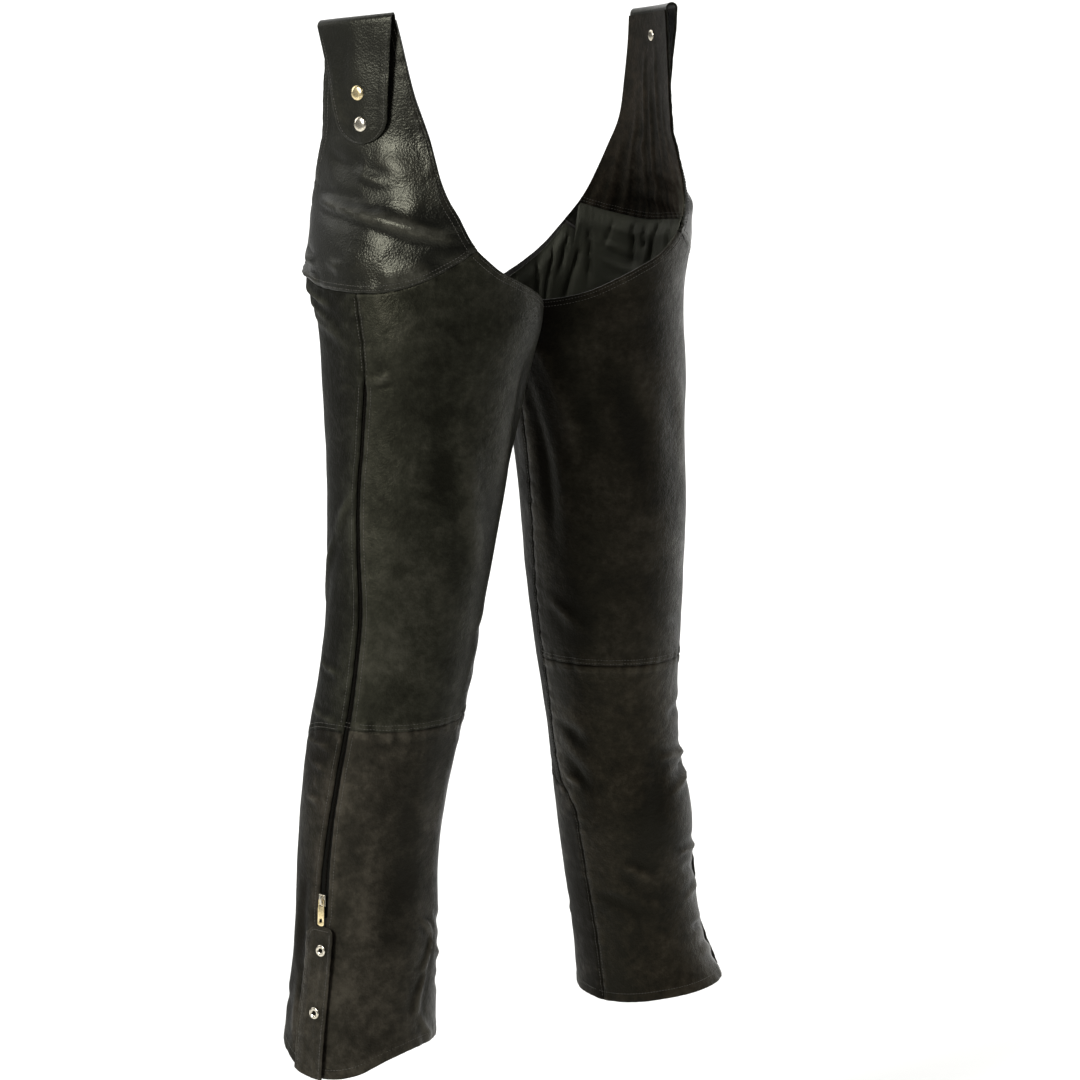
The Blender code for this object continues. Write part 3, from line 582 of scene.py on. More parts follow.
def grained_leather(name, dark, middle, light, rough, level, rumple=0.42, tint="#f6f3ce", painted_light_gain=0.20):
    """Chrome-tanned cowhide with a printed grain and a waxed, semi-matt finish: it gives the eye a near-black
    surface whose soft highlights break up into pebbles and random lighter patches, with painted highlight and
    shade on its ridges and troughs from the worn attribute. rough is (glossy, matt)."""
    made, tree, shader = finish(name, 0.5, Specular_IOR_Level=level, Specular_Tint=linear(tint))
    place = add(tree, "TexCoord", out="Object")
    patch = add(tree, "TexNoise", [("Vector", place)], Scale=1 / (71.4 * MM), Detail=3, Roughness=0.6)
    mottle = add(tree, "TexNoise", [("Vector", place)], Scale=1 / (10 * MM), Detail=6, Roughness=0.75)
    both = add(tree, "Math", [(0, patch), (1, mottle)], operation="ADD")
    tone = add(tree, "Math", [(0, both), (1, 0.5)], operation="MULTIPLY")
    # The worn attribute pales the colour on ridges and darkens it in troughs and rolled-in seams, a painted
    # highlight and painted shade.
    worn = add(tree, "Attribute", out="Fac", attribute_name="worn")
    rubbed = add(tree, "Attribute", out="Fac", attribute_name="rubbed")
    pale = add(tree, "Math", [(0, worn), (1, painted_light_gain), (2, tone)], operation="MULTIPLY_ADD")
    # The rubbed mask darkens the colour here, a painted shade; below it also adds roughness.
    deep = add(tree, "Math", [(0, rubbed), (1, -0.15), (2, pale)], operation="MULTIPLY_ADD")
    # The last stop, #403f38, is reached mostly where the worn attribute paints a highlight on strong ridges.
    colour = add(tree, "ValToRGB", [("Fac", deep)],
                 stops=[(0.39, dark), (0.50, middle), (0.62, light), (0.82, "#403f38")])
    gloss = add(tree, "MapRange", [("Value", tone)], From_Min=0.4, From_Max=0.6,
                To_Min=rough[1], To_Max=rough[0])
    dulled = add(tree, "Math", [(0, rubbed), (1, 0.13), (2, gloss)], operation="MULTIPLY_ADD")
    # printed pebbles 1.7 mm apart over wrinkles of 8 mm
    pebble = add(tree, "TexVoronoi", [("Vector", place)], Scale=1 / (1.7 * MM), feature="SMOOTH_F1")
    wrinkle = add(tree, "TexNoise", [("Vector", place)], Scale=1 / (8 * MM), Detail=6, Roughness=0.66)
    fine = add(tree, "Bump", [("Height", pebble)], Strength=0.4, Distance=0.0006)
    bump = add(tree, "Bump", [("Height", wrinkle), ("Normal", fine)], Strength=rumple, Distance=0.0024)
    feed(tree, shader, Base_Color=colour, Roughness=dulled, Normal=bump)
    return made


def flesh_side(name):
    """The leather's undyed-looking flesh side, brushed: a dull, napped dark brown with no gloss."""
    made, tree, shader = finish(name, 0.95, Specular_IOR_Level=0.15, Sheen_Weight=0.35, Sheen_Roughness=0.6)
    place = add(tree, "TexCoord", out="Object")
    nap = add(tree, "TexNoise", [("Vector", place)], Scale=1 / (3.846 * MM), Detail=6, Roughness=0.7)
    colour = add(tree, "ValToRGB", [("Fac", nap)], stops=[(0.35, "#1d1a17"), (0.7, "#37322c")])
    bump = add(tree, "Bump", [("Height", nap)], Strength=0.6, Distance=0.0006)
    feed(tree, shader, Base_Color=colour, Normal=bump)
    return made


def woven(name, dark, light, roughness, yarn, level):
    """Filament yarn in a plain weave: fine crossing ribs, satin or matt to the eye by the roughness."""
    made, tree, shader = finish(name, roughness, Specular_IOR_Level=level, Specular_Tint=linear("#f4f4dc"))
    place = add(tree, "UVMap", uv_map="cloth")
    # a wave texture's period is near a third of 1 / scale, so this gives one rib a yarn
    warp, weft = (add(tree, "TexWave", [("Vector", place)], out="Fac", Scale=1 / (yarn * MM) / 3,
                      bands_direction=way, Distortion=0.4) for way in "XY")
    cross = add(tree, "Math", [(0, warp), (1, weft)], operation="MULTIPLY")
    tone = add(tree, "TexNoise", [("Vector", place)], Scale=1 / (33.33 * MM), Detail=3)
    colour = add(tree, "ValToRGB", [("Fac", tone)], stops=[(0.35, dark), (0.7, light)])
    bump = add(tree, "Bump", [("Height", cross)], Strength=0.35, Distance=0.0003)
    feed(tree, shader, Base_Color=colour, Normal=bump)
    return made


def twisted_thread(name):
    """Bonded polyester sewing thread: dark grey, faintly glossy, its grey lighter than the leather partly as
    a painted highlight, so that its rows read as lighter lines.
    """
    made, tree, shader = finish(name, 0.5, Specular_IOR_Level=0.5)
    place = add(tree, "TexCoord", out="Object")
    twist = add(tree, "TexNoise", [("Vector", place)], Scale=1 / (2 * MM), Detail=2)
    colour = add(tree, "ValToRGB", [("Fac", twist)], stops=[(0.3, "#2a2823"), (0.7, "#504d45")])
    feed(tree, shader, Base_Color=colour)
    return made


def plated(name, colour, rough, worn):
    """Nickel-plated brass, barrel polished: bright and a little warm, with hairlines and duller wear."""
    made, tree, shader = finish(name, rough, Metallic=1.0)
    place = add(tree, "TexCoord", out="Object")
    wear = add(tree, "TexNoise", [("Vector", place)], Scale=1 / (2.381 * MM), Detail=4, Roughness=0.7)
    colour = add(tree, "ValToRGB", [("Fac", wear)], stops=[(0.3, worn), (0.6, colour)])
    gloss = add(tree, "MapRange", [("Value", wear)], From_Min=0.3, From_Max=0.7,
                To_Min=rough + 0.12, To_Max=rough)
    hairline = add(tree, "TexNoise", [("Vector", place)], Scale=1 / (2 / 3 * MM), Detail=2)
    bump = add(tree, "Bump", [("Height", hairline)], Strength=0.12, Distance=0.0001)
    feed(tree, shader, Base_Color=colour, Roughness=gloss, Normal=bump)
    return made


WAXED, RUBBED = (0.30, 0.46), (0.42, 0.56)
# Columns: node, material, dark, middle and light colour, (glossy, dull) roughness, specular level
HIDE = {node: grained_leather("cowhide_" + name, *finish_of) for node, name, *finish_of in (
    ("front_thigh_R", "olive_black", "#0f0f0b", "#1e1e18", "#2f2e27", WAXED, 0.12),
    ("front_shin_R", "umber_black", "#14120f", "#24211c", "#37332c", WAXED, 0.12),
    ("front_thigh_L", "brown_black", "#0d0b09", "#1a1712", "#2a2620", WAXED, 0.11),
    ("front_shin_L", "bark_black", "#100e0b", "#1f1b15", "#312c24", WAXED, 0.12),
    # The back panels' copies are darker than the front ones, a painted shade, and the left calf's is lighter,
    # a painted light.
    ("back_thigh_R", "olive_rubbed", "#0b0b08", "#171712", "#26261f", RUBBED, 0.06),
    ("back_calf_R", "umber_rubbed", "#100e0b", "#1c1a15", "#2d2923", RUBBED, 0.06),
    ("back_thigh_L", "brown_rubbed", "#0a0907", "#14120e", "#211e19", RUBBED, 0.06),
    ("back_calf_L", "bark_rubbed", "#13110e", "#25211b", "#39342c", RUBBED, 0.07),
)}
YOKE_HIDE = grained_leather("cowhide_glazed_black", "#080807", "#12120f", "#201f1a", (0.25, 0.36), 0.25,
                            rumple=0.17, tint="#f6f5dc")
# The facing's painted light is stronger than the other hides'.
FACING_HIDE = grained_leather("cowhide_lining_brown_black", "#070504", "#110e0b", "#26201a", (0.40, 0.58),
                              0.09, painted_light_gain=0.32)
FLESH = flesh_side("cowhide_flesh_side")
LINING_CLOTH = woven("polyester_satin_lining", "#272822", "#383930", 0.46, 0.5, 0.42)
TAPE_CLOTH = woven("polyester_zip_tape", "#050505", "#0a0a09", 0.9, 0.7, 0.15)
THREAD = twisted_thread("bonded_polyester_thread")
NICKEL = plated("nickel_plated_brass", "#e4ddcc", 0.16, "#a39b88")
WARM_NICKEL = plated("worn_nickel_over_brass", "#f0dfb2", 0.20, "#b09a66")
TEETH = plated("blackened_brass_teeth", "#1c1914", 0.45, "#0c0b0a")


# Panels of each leg

FRONT_CORNER, BACK_CORNER = YOKE_SEAM[0][0], YOKE_SEAM[-1][0]
# Where the panels' edges run. Columns: first and last angle or height, number of points
FRONT_RUN, BACK_RUN = (-108, 80, 180), (76, 268, 200)
FRONT_FREE, BACK_FREE = (-92, FRONT_CORNER, 160), (BACK_CORNER, 268, 160)
YOKE_RUN = (FRONT_CORNER, BACK_CORNER, 160)
INSEAM_RUN = (-0.2603, -0.9995, 420)
OVER_ZIP, BESIDE_ZIP, UNDER_ZIP = (-0.2335, -0.314, 60), (-0.314, -0.870, 380), (-0.870, -1.0, 60)
STRAP_FRONT, STRAP_BACK = (-0.190, STRAP_TOP, 150), (-0.197, STRAP_TOP - FOLD_TILT, 150)
YOKE_SHARE = spaced(190)                 # the yoke's columns, as shares of its width
YOKE_LOW = -0.233                        # where the yoke's seam is lowest
STRAP_CALM = (0.55, 0.35)                # where the creases fade, up the yoke
FACING_TALL, FACING_TOP = 205, 0.993     # its height in mm, and how far up the strap it reaches
FACING_WIDE, FACING_FLARE = 86, 150      # its width in mm at the strap, and how much wider its end is
COVERED = (24, 148)                      # the angles where the facing covers the lining's top


def side_gap(z):
    """Half the gap between the panels along the side line, in mm."""
    height, half = np.array(GROOVE).T
    return np.interp(z * 1000, height, half)


# Curves round a leg that bound its panels. All take the side, though some are the same on both

def front_top(side, angle):
    return np.where(angle <= FRONT_CORNER, edge_height(FRONT_EDGE, angle), at_angle(YOKE_SEAM, angle))


def back_top(side, angle):
    return np.where(angle >= BACK_CORNER, edge_height(BACK_EDGE, angle), at_angle(YOKE_SEAM, angle))


def yoke_seam(side, angle):
    return at_angle(YOKE_SEAM, angle)


def knee_front(side, angle):
    return at_angle(KNEE_FRONT, angle) + KNEE_RISE[side]


def knee_back(side, angle):
    return at_angle(KNEE_BACK, angle)


def hem(side, angle):
    return at_angle(HEM[side], angle)


def panel_grid(side, front, top, bottom, width, height):
    """Angles and heights of a leg panel between the inseam, the side line and two curves over the angle."""
    across, down = spaced(width), spaced(height)

    def angle_at(share, z):
        line, seam = at_height(SIDE_LINE, z), at_height(INSEAM, z)
        gap = side_gap(z) / mm_per_degree(side, z)
        return seam + (line - gap - seam) * share if front else line + gap + (seam + 360 - line - gap) * share

    def height_at(angle):
        return top(side, angle) + (bottom(side, angle) - top(side, angle)) * down[:, None]

    if top in (front_top, back_top):
        corner = FRONT_CORNER if front else BACK_CORNER
        ends = angle_at(np.array([0.0, 1.0]), np.full(2, top(side, corner)))
        kink = (corner - ends[0]) / (ends[1] - ends[0])
        across[np.abs(across - kink).argmin()] = kink
    share = across + 0 * down[:, None]
    angle = angle_at(share, -0.4 + 0 * share)
    for _ in range(14):
        angle = angle_at(share, height_at(angle))
    return angle, height_at(angle)


def leg_panels(side):
    """The four panels of a leg, and their sewing."""
    def side_edge(run, kind, rows):
        z = np.linspace(*run)
        reach = side_gap(z) / mm_per_degree(side, z)
        return [Edge(side, at_height(SIDE_LINE, z) + way * reach, z, kind, rows) for way in (-1, 1)]

    def around(run, height, *kind):
        angle = np.linspace(*run)
        return Edge(side, angle, height(side, angle), *kind)

    seam_z = np.linspace(*INSEAM_RUN)
    inner, inner_back = (Edge(side, at_height(INSEAM, seam_z) + turn, seam_z, "seam", ONE_ROW)
                         for turn in (0, 360))
    yoke_under = around(YOKE_RUN, yoke_seam, "tucked", ())
    front_free = around(FRONT_FREE, front_top, "turned")
    back_free = around(BACK_FREE, back_top, "turned")
    knee_over, knee_under = (around(FRONT_RUN, knee_front, "knee", rows) for rows in (BOTH_ROWS, ()))
    calf_over, calf_under = (around(BACK_RUN, knee_back, "seam", rows) for rows in (BOTH_ROWS, ()))
    hem_front, hem_back = (around(run, hem, "hem", (HEM_ROW,)) for run in (FRONT_RUN, BACK_RUN))
    zip_front, zip_back = zip(side_edge(OVER_ZIP, "seam", ONE_ROW), side_edge(BESIDE_ZIP, "zip", (ZIP_ROW,)),
                              side_edge(UNDER_ZIP, "seam", ()))
    # Columns: whether in front, top and bottom curve, usual width and height in mm, edges
    panels = {
        "front_thigh": (True, front_top, knee_front, 300, 400,
                        [inner, yoke_under, front_free, knee_over, *zip_front[:2]]),
        "front_shin": (True, knee_front, hem, 225, 345, [inner, knee_under, hem_front, *zip_front[1:]]),
        "back_thigh": (False, back_top, knee_back, 300, 460,
                       [inner_back, yoke_under, back_free, calf_over, *zip_back[:2]]),
        "back_calf": (False, knee_back, hem, 225, 290, [inner_back, calf_under, hem_back, *zip_back[1:]]),
    }
    for name, (front, top, bottom, width, height, edges) in panels.items():
        angle, z = panel_grid(side, front, top, bottom, width, height)
        outer, normal, plain, ridges = leather(side, angle, z, edges)
        node = f"{name}_{side}"
        # The rubbed mask darkens the inner side and the back, a painted shade, as well as making them matt.
        # worn paints a highlight on crease ridges and doubled seam edges, and shade in troughs and rolled-in
        # seams.
        wall(f"{name}_shell_{side}", node, outer, outer - normal * LEATHER, (HIDE[node], FLESH),
             ("stretched", f"zip_tape_{side}", plain), rubbed=rubbed_and_shade_at(angle, z), worn=ridges / 2)
        middle, runs = (angle.mean(), z.mean()), []
        for edge in edges:
            for row in edge.rows:
                line, out = stitch_row(edge, row, middle)
                inside = (edge.angle >= angle.min() - 0.5) & (edge.angle <= angle.max() + 0.5)
                inside &= (edge.z <= z.max() + 0.001) & (edge.z >= z.min() - 0.001)
                if edge in (inner, inner_back, *zip_front, *zip_back):
                    inside &= edge.z > bottom(side, edge.angle) + row * MM
                    inside &= edge.z < top(side, edge.angle) - row * MM
                if inside.sum() > 2:
                    runs.append((line[inside], out[inside]))
        sew(f"{name}_thread_{side}", runs)


def yoke_at(climb):
    """Angles and heights on the yoke, from its seam (climb 0) to the strap's fold (climb 1)."""
    seam_z = at_angle(YOKE_SEAM, FRONT_CORNER + (BACK_CORNER - FRONT_CORNER) * YOKE_SHARE)
    front_low, back_low = seam_z[0], seam_z[-1]
    sag = seam_z - front_low - (back_low - front_low) * YOKE_SHARE
    front_z = front_low + (STRAP_TOP - front_low) * climb
    back_z = back_low + (STRAP_TOP - FOLD_TILT - back_low) * climb
    front_a, back_a = at_height(FRONT_EDGE, front_z), at_height(BACK_EDGE, back_z)
    z = front_z + (back_z - front_z) * YOKE_SHARE + sag * (1 - climb) ** 2
    return front_a + (back_a - front_a) * YOKE_SHARE, z


def calm(climb):
    """How much of its creases the yoke keeps at a climb."""
    return 1 - smoothstep((climb - STRAP_CALM[0]) / STRAP_CALM[1])


def yoke(side):
    """The hip yoke with its strap, the fold over the belt and the flap outside, and their sewing."""
    # without fine rows before the fold, since the leather runs on over it
    climb = spaced(230)[:-7]
    climb = np.append(climb[climb < 0.985], 1.0)[:, None] + 0 * YOKE_SHARE
    angle, z = yoke_at(climb)
    front, back = (Edge(side, at_height(table, heights), heights, "turned") for table, heights in
                   ((FRONT_EDGE, np.linspace(*STRAP_FRONT)), (BACK_EDGE, np.linspace(*STRAP_BACK))))
    seam_a = np.linspace(*YOKE_RUN)
    seam = Edge(side, seam_a, yoke_seam(side, seam_a), "seam")
    points, normals = surface(side, angle, z)
    by_seam = seam.shape(points)
    rise = relief(side, angle, z) * calm(climb) + by_seam + (
        front.shape(points) + back.shape(points)) * (1 - smoothstep((climb - 0.85) / 0.15))
    ridges = creases(side, angle, z) * calm(climb) + by_seam
    # Where the yoke's back and its strap are made matt; the same values darken their colour, a painted shade.
    dull_and_shade = 0.85 * smoothstep((angle - 80) / 22) * smoothstep((-0.04 - z) / 0.05)
    dull_and_shade = np.maximum(dull_and_shade, 0.4 * smoothstep((z + 0.085) / 0.03))
    outer = points + normals * (rise * MM)[..., None]

    # the fold turns half round the belt, and the flap hangs from it, narrowing to a rounded end
    up = np.array([0, 0, 1.0])
    away = unit(normals[-1] * (1, 1, 0))
    turn = np.linspace(0, math.pi, 15)[1:, None, None]
    hub = points[-1] + away * FOLD_RADIUS
    bend = away * -np.cos(turn) + up * np.sin(turn)
    fold = hub + bend * FOLD_RADIUS
    thick = LEATHER + (FLAP_THICK - LEATHER) * turn / math.pi
    # rows down the flap as (drop, share of its width): 26 even ones, then 17 round its end
    straight = FLAP_LENGTH - FOLD_RADIUS - FLAP_END
    rows = [(straight * k / 26, 1 - (1 - FLAP_TIP) * k / 26) for k in range(1, 27)]
    rows += [(straight + FLAP_END * math.sin(a), FLAP_TIP * math.cos(a))
             for a in np.radians(np.linspace(5, 88, 17))]
    drop, width = np.array(rows).T[..., None, None]
    start = hub + away * FOLD_RADIUS
    middle = start.mean(axis=0)
    forward = unit((start[0] - start[-1]) * (1, 1, 0))
    hang = forward * FLAP_SWING - away.mean(axis=0) * FLAP_LEAN - up
    flap = middle + (start - middle) * width + hang * drop
    drop = drop[..., 0]
    slack = 0.5 * waves(flap * (1, 1, 0.22), 0.020, 8, 11) + 0.45 * waves(flap, 0.05, 6, 12)
    rim = np.concatenate([flap[:, 0], flap[::-1, -1]])
    near, which = distance_to(flap, rim)
    trim = 0.5 * beside("turned", near, run_of(rim)[which], (FLAP_ROW,)) * smoothstep(drop / 0.02)
    face = flap + away * (FLAP_THICK + (slack * smoothstep(drop / 0.015) * 0.8 + trim) * MM)[..., None]
    # The fold and the flap are darkened at 0.45 too, a painted shade besides their roughness; worn paints
    # highlight and shade on the yoke's creases and on the flap's slack.
    wall(f"yoke_shell_{side}", f"yoke_{side}", np.concatenate([outer, fold, flap]),
         np.concatenate([outer - normals * LEATHER, hub + bend * (FOLD_RADIUS + thick), face]),
         (YOKE_HIDE, YOKE_HIDE), ("stretched", f"front_thigh_{side}", np.concatenate([points, fold, flap])),
         rubbed=np.concatenate([dull_and_shade, np.full(fold.shape[:2], 0.45), np.full(flap.shape[:2], 0.45)]),
         worn=np.concatenate([ridges / 2, np.zeros(fold.shape[:2]), slack * 0.3]))

    runs = []
    for edge, inside in ((seam, (90, -0.15)), (front, (90, -0.10)), (back, (90, -0.10))):
        for row in edge.rows:
            line, out = stitch_row(edge, row, inside, calm((edge.z - YOKE_LOW) / (STRAP_TOP - YOKE_LOW)))
            keep = edge.z < STRAP_TOP - 0.006
            runs.append((line[keep], out[keep]))
    width = np.linalg.norm(face[:, 0] - face[:, -1], axis=-1) * 1000
    inset = np.clip(FLAP_ROW / np.maximum(width, 8), 0, 0.45)

    def flap_stitches(shares):
        return [[np.interp(shares[k], YOKE_SHARE, face[k, :, c]) for c in range(3)]
                for k in range(2, len(rows) - 4)]

    line = np.array(flap_stitches(inset) + flap_stitches(1 - inset)[::-1])
    runs.append((line, np.repeat(away.mean(axis=0)[None], len(line), 0)))
    sew(f"yoke_thread_{side}", runs)


def facing(side):
    """The brown leather facing behind the strap and yoke, with soft folds down it and a gathered end."""
    trial = np.linspace(0, 1, 201)[:, None] + 0 * YOKE_SHARE
    low = np.array([np.interp(0, z - at_angle(FACING_END, a), t)
                    for a, z, t in zip(*(grid.T for grid in (*yoke_at(trial), trial)))])
    down = spaced(FACING_TALL)[::-1][:, None]
    climb = low + (FACING_TOP - low) * down
    angle, z = yoke_at(climb)
    folds = np.zeros(climb.shape)
    for at, high, end, half, deep in FACING_FOLDS:
        window = smoothstep((high - down) / 0.25) * smoothstep((down - end + 0.04) / 0.12)
        folds -= deep * bell((YOKE_SHARE - at) * (FACING_WIDE + FACING_FLARE * (1 - down)), half) * window
    gather = 1.3 * np.sin(YOKE_SHARE * 120 + 3 * np.sin(YOKE_SHARE * 11)) * np.exp(-down / 0.10)
    pushed = np.minimum(relief(side, angle, z) * calm(climb), 0)
    out = -LEATHER - FACING_GAP + (pushed + folds + np.minimum(gather, 0.3) - 0.3) * MM
    # Painted light: a lighter patch at the front of the lower end, and lighter ridges where the folds and
    # gathers stand inwards.
    painted_light_patch = (0.25 + 0.7 * smoothstep((0.55 - YOKE_SHARE) / 0.3)) * np.exp(-down / 0.2)
    skin_wall(side, "facing_shell", "facing", angle, z, out, FACING_THICK, (FACING_HIDE,), "stretched",
              "yoke", worn=painted_light_patch - folds / 7 - gather * 0.3)
    runs = []
    for row in FACING_ROWS:
        share = row / FACING_TALL
        points, normals = surface(side, *yoke_at(low + (FACING_TOP - low) * share))
        inside = out[np.abs(down[:, 0] - share).argmin()] - FACING_THICK
        runs.append((points + normals * inside[:, None], -normals))
    sew(f"facing_thread_{side}", runs)


def lining(side):
    """The satin lining of the thigh, hung inside the leather in smooth planes between deep creases."""
    around = np.linspace(-97, 263, 253)[:-1]
    edge_z = np.where(around < 90, edge_height(FRONT_EDGE, around), edge_height(BACK_EDGE, around))
    open_z = np.where(around < 90, front_top(side, around), back_top(side, around)) - 0.004
    top_z = np.where((around > COVERED[0]) & (around < COVERED[1]),
                     np.minimum(at_angle(FACING_END, around) - 0.0005, edge_z - 0.004), open_z)
    # finer rows in the upper half, where it can be seen
    down = np.concatenate([np.linspace(0, 0.5, 80), np.linspace(0.5, 1, 32)[1:]])[:, None]
    z = top_z + (LINING_END - top_z) * down
    angle = around + 0 * down
    ease = smoothstep((top_z - z) / 0.018) * smoothstep((z - LINING_END) / 0.05)
    # it hangs some 4 mm inside the leather, and comes out to it at both ends and in its creases
    hang_in = (4.4 + 0.8 * np.sin(angle / 9 + 2 * np.sin(angle / 27)) * np.cos(z * 14)) * ease
    for a0, high, low, lean, half, deep in LINING_FOLDS:
        t = (high - z * 1000) / (high - low)
        off = ((angle - a0 - lean * t + 180) % 360 - 180) * GIRTH_STEP
        window = smoothstep(t / 0.2 + 0.5) * smoothstep((1 - t) / 0.4)
        hang_in -= deep * bell(off, half * (0.7 + 0.7 * np.clip(t, 0, 1)), 1.5) * window
    hang_in = np.maximum(hang_in, 0)
    pushed = np.minimum(relief(side, angle, z), 0)
    gather = 0.5 * (1 + np.sin(angle * 1.9 + 2 * np.sin(angle / 9))) * np.exp(-down / 0.05)
    out = -LEATHER - LINING_EASE + (pushed - hang_in - gather - 0.4) * MM
    skin_wall(side, "lining_shell", "lining", angle, z, out, CLOTH, (LINING_CLOTH,), "hung", "facing",
              ring=True, uv=np.stack([angle * GIRTH_STEP * MM, z], -1))


def one_tooth():
    """Points and faces of a zip tooth: a small block with softened edges."""
    bpy.ops.object.select_all(action="DESELECT")
    bpy.ops.mesh.primitive_cube_add(size=1)
    tooth = bpy.context.object
    tooth.scale = (TOOTH_WIDTH * MM, TOOTH_TALL * MM, TOOTH_THICK * MM)
    bpy.ops.object.transform_apply(scale=True)
    soft = tooth.modifiers.new("soft", "BEVEL")
    soft.width, soft.segments = 0.00022, 1
    bpy.ops.object.modifier_apply(modifier="soft")
    shape = np.array([v.co for v in tooth.data.vertices])
    faces = [tuple(p.vertices) for p in tooth.data.polygons]
    bpy.data.objects.remove(tooth)
    return shape, faces


def side_zip(side):
    """The zip's woven tape behind the leather's two edges, and its chain of single teeth."""
    z = np.linspace(ZIP_TOP, ZIP_STOP, 180)[:, None]
    across = np.linspace(-1, 1, 9) * (TAPE_HALF * 1000 - 0.4)
    angle = at_height(SIDE_LINE, z) + across / mm_per_degree(side, z)
    z = z + 0 * across
    out = -LEATHER - TAPE_GAP + relief(side, angle, z) * MM
    skin_wall(side, "zip_tape_cloth", "zip_tape", angle, z, out, TAPE_THICK, (TAPE_CLOTH,), "stretched",
              "back_thigh", uv=np.stack([across * MM + 0 * z, z], -1))
    z = np.arange(ZIP_TOP - 0.001, ZIP_STOP, -TOOTH_PITCH * MM)
    angle = at_height(SIDE_LINE, z)
    skin, normal = surface(side, angle, z)
    points = skin + normal * (-LEATHER - TEETH_GAP + relief(side, angle, z) * MM)[:, None]
    along = -unit(np.gradient(points, axis=0))
    sideways = np.cross(along, normal)
    # every other tooth belongs to the other side
    swap = np.where(np.arange(len(z)) % 2, 0.42, -0.42)[:, None] * TOOTH_WIDTH / 2 * MM
    places = zip(points + sideways * swap, np.stack([sideways, along, normal], 1))
    stand_for(copies(f"zip_teeth_{side}", *one_tooth(), places, TEETH), f"zip_chain_{side}")


def storm_flap(side):
    """The flap snapped over the bottom of the zip, and its sewing."""
    reach = np.concatenate([[STORM_FRONT], np.linspace(STORM_FRONT - 0.0006, -STORM_BACK + 0.0006, 24),
                            [-STORM_BACK]])
    angle = at_height(SIDE_LINE, STORM_TOP) - reach / (mm_per_degree(side, STORM_TOP) * MM)
    past = np.clip(reach - STORM_FRONT + STORM_CORNER, 0, STORM_CORNER)
    begin = STORM_TOP - STORM_CORNER + np.sqrt(STORM_CORNER**2 - past**2)
    begin = begin - 0.008 * smoothstep((-reach - 0.006) / 0.012)        # it slopes down behind
    down = spaced(140)[:, None]
    z = begin + (hem(side, angle) - 0.001 - begin) * down
    angle = angle + 0 * down
    rim = np.minimum(np.minimum(STORM_FRONT - reach, reach + STORM_BACK), begin - z) * 1000
    lift = STORM_LIFT + STORM_CURL * bell(STORM_FRONT - reach, 0.004) * (1 + 0.6 * np.sin(down * 9))
    shape = np.maximum(relief(side, angle, z), -0.5) + beside("hem", rim, z * 1000, (STORM_ROW,))
    outer, normal = skin_wall(side, "snap_flap_shell", "snap_flap", angle, z, LEATHER + lift + shape * MM,
                              LEATHER, (HIDE[f"front_shin_{side}"], FLESH), "stretched", "back_calf")
    picks = [(slice(6, -6), np.abs(reach - where).argmin())
             for where in (STORM_FRONT - STORM_ROW * MM, STORM_ROW * MM - STORM_BACK)]
    picks.append((np.abs(down[:, 0] - 0.024).argmin(), slice(4, -4)))
    sew(f"snap_flap_thread_{side}", [(outer[pick], normal[pick]) for pick in picks])


for side in SIDES:
    for make in (leg_panels, yoke, facing, lining, side_zip, storm_flap):
        make(side)


# Metal pieces

# Caps: radius and plate thickness, then steps inwards over the top face, each an inset and a rise, all in mm
STRAP_CAP = (7.0, 0.8, [(0.25, 0.35), (0.45, 0.35), (0.8, 0.4), (1.1, 0.3), (1.3, 0.17), (1.2, 0.06)])
HEM_CAP = (5.7, 0.7, [(0.25, 0.3), (0.45, 0.28), (0.9, 0.12), (1.1, -0.15), (0.5, -0.55), (0.9, -0.15)])
RIVET = (5.6, 0.6, [(0.3, 0.3), (0.5, 0.25), (0.8, 0.22), (1.0, 0.16), (1.2, 0.08)])
HEM_PAINTED_DARK, HEM_LIFT = 5, 0.0008         # the step where its dark centre of blackened metal begins, a painted dark reflection, and how far out it stands


def cap_place(node, way, lift=0.0):
    """A frame under a CAD cap, with Z on the cap's own axis, pointing the given way along X."""
    points = np.array([v.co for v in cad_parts[node].data.vertices])
    centre = points.mean(axis=0)
    out = np.linalg.svd(points - centre)[2][2]
    out = out * (-1 if out[0] * way < 0 else 1)
    z = Vector(out).normalized()
    x = Vector((0, 0, 1)).cross(z).normalized()
    made = Matrix((x, z.cross(x), z)).transposed().to_4x4()
    made.translation = Vector(centre + out * (((points - centre) @ out).min() + lift))
    return made


def cap(name, node, kind, way, look, sides=40, lift=0.0, socket=None):
    """A pressed metal cap: a disc whose top face is inset and raised step by step."""
    radius, plate, steps = kind
    bpy.ops.object.select_all(action="DESELECT")
    bpy.ops.mesh.primitive_cylinder_add(vertices=sides, radius=radius * MM, depth=plate * MM,
                                        location=(0, 0, plate / 2 * MM))
    piece = bpy.context.object
    piece.name = name
    bpy.ops.object.mode_set(mode="EDIT")
    bpy.ops.mesh.select_all(action="DESELECT")
    mesh = bmesh.from_edit_mesh(piece.data)
    for face in mesh.faces:
        face.select = face.normal.z > 0.9
    bmesh.update_edit_mesh(piece.data)
    piece.data.materials.append(look)
    for number, (inset, rise) in enumerate(steps):
        # From the step given by socket on, the top takes the blackened teeth metal: a painted dark reflection
        # in the cap's centre.
        if number == socket:
            piece.data.materials.append(TEETH)
            piece.active_material_index = 1
            bpy.ops.object.material_slot_assign()
        bpy.ops.mesh.inset(thickness=inset * MM, depth=rise * MM)
    bpy.ops.object.mode_set(mode="OBJECT")
    bpy.ops.object.transform_apply(location=True)
    bpy.ops.object.shade_smooth_by_angle(angle=math.radians(48))
    piece.data.transform(cap_place(node, way, lift))
    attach(piece, BODY)
    stand_for(piece, node)


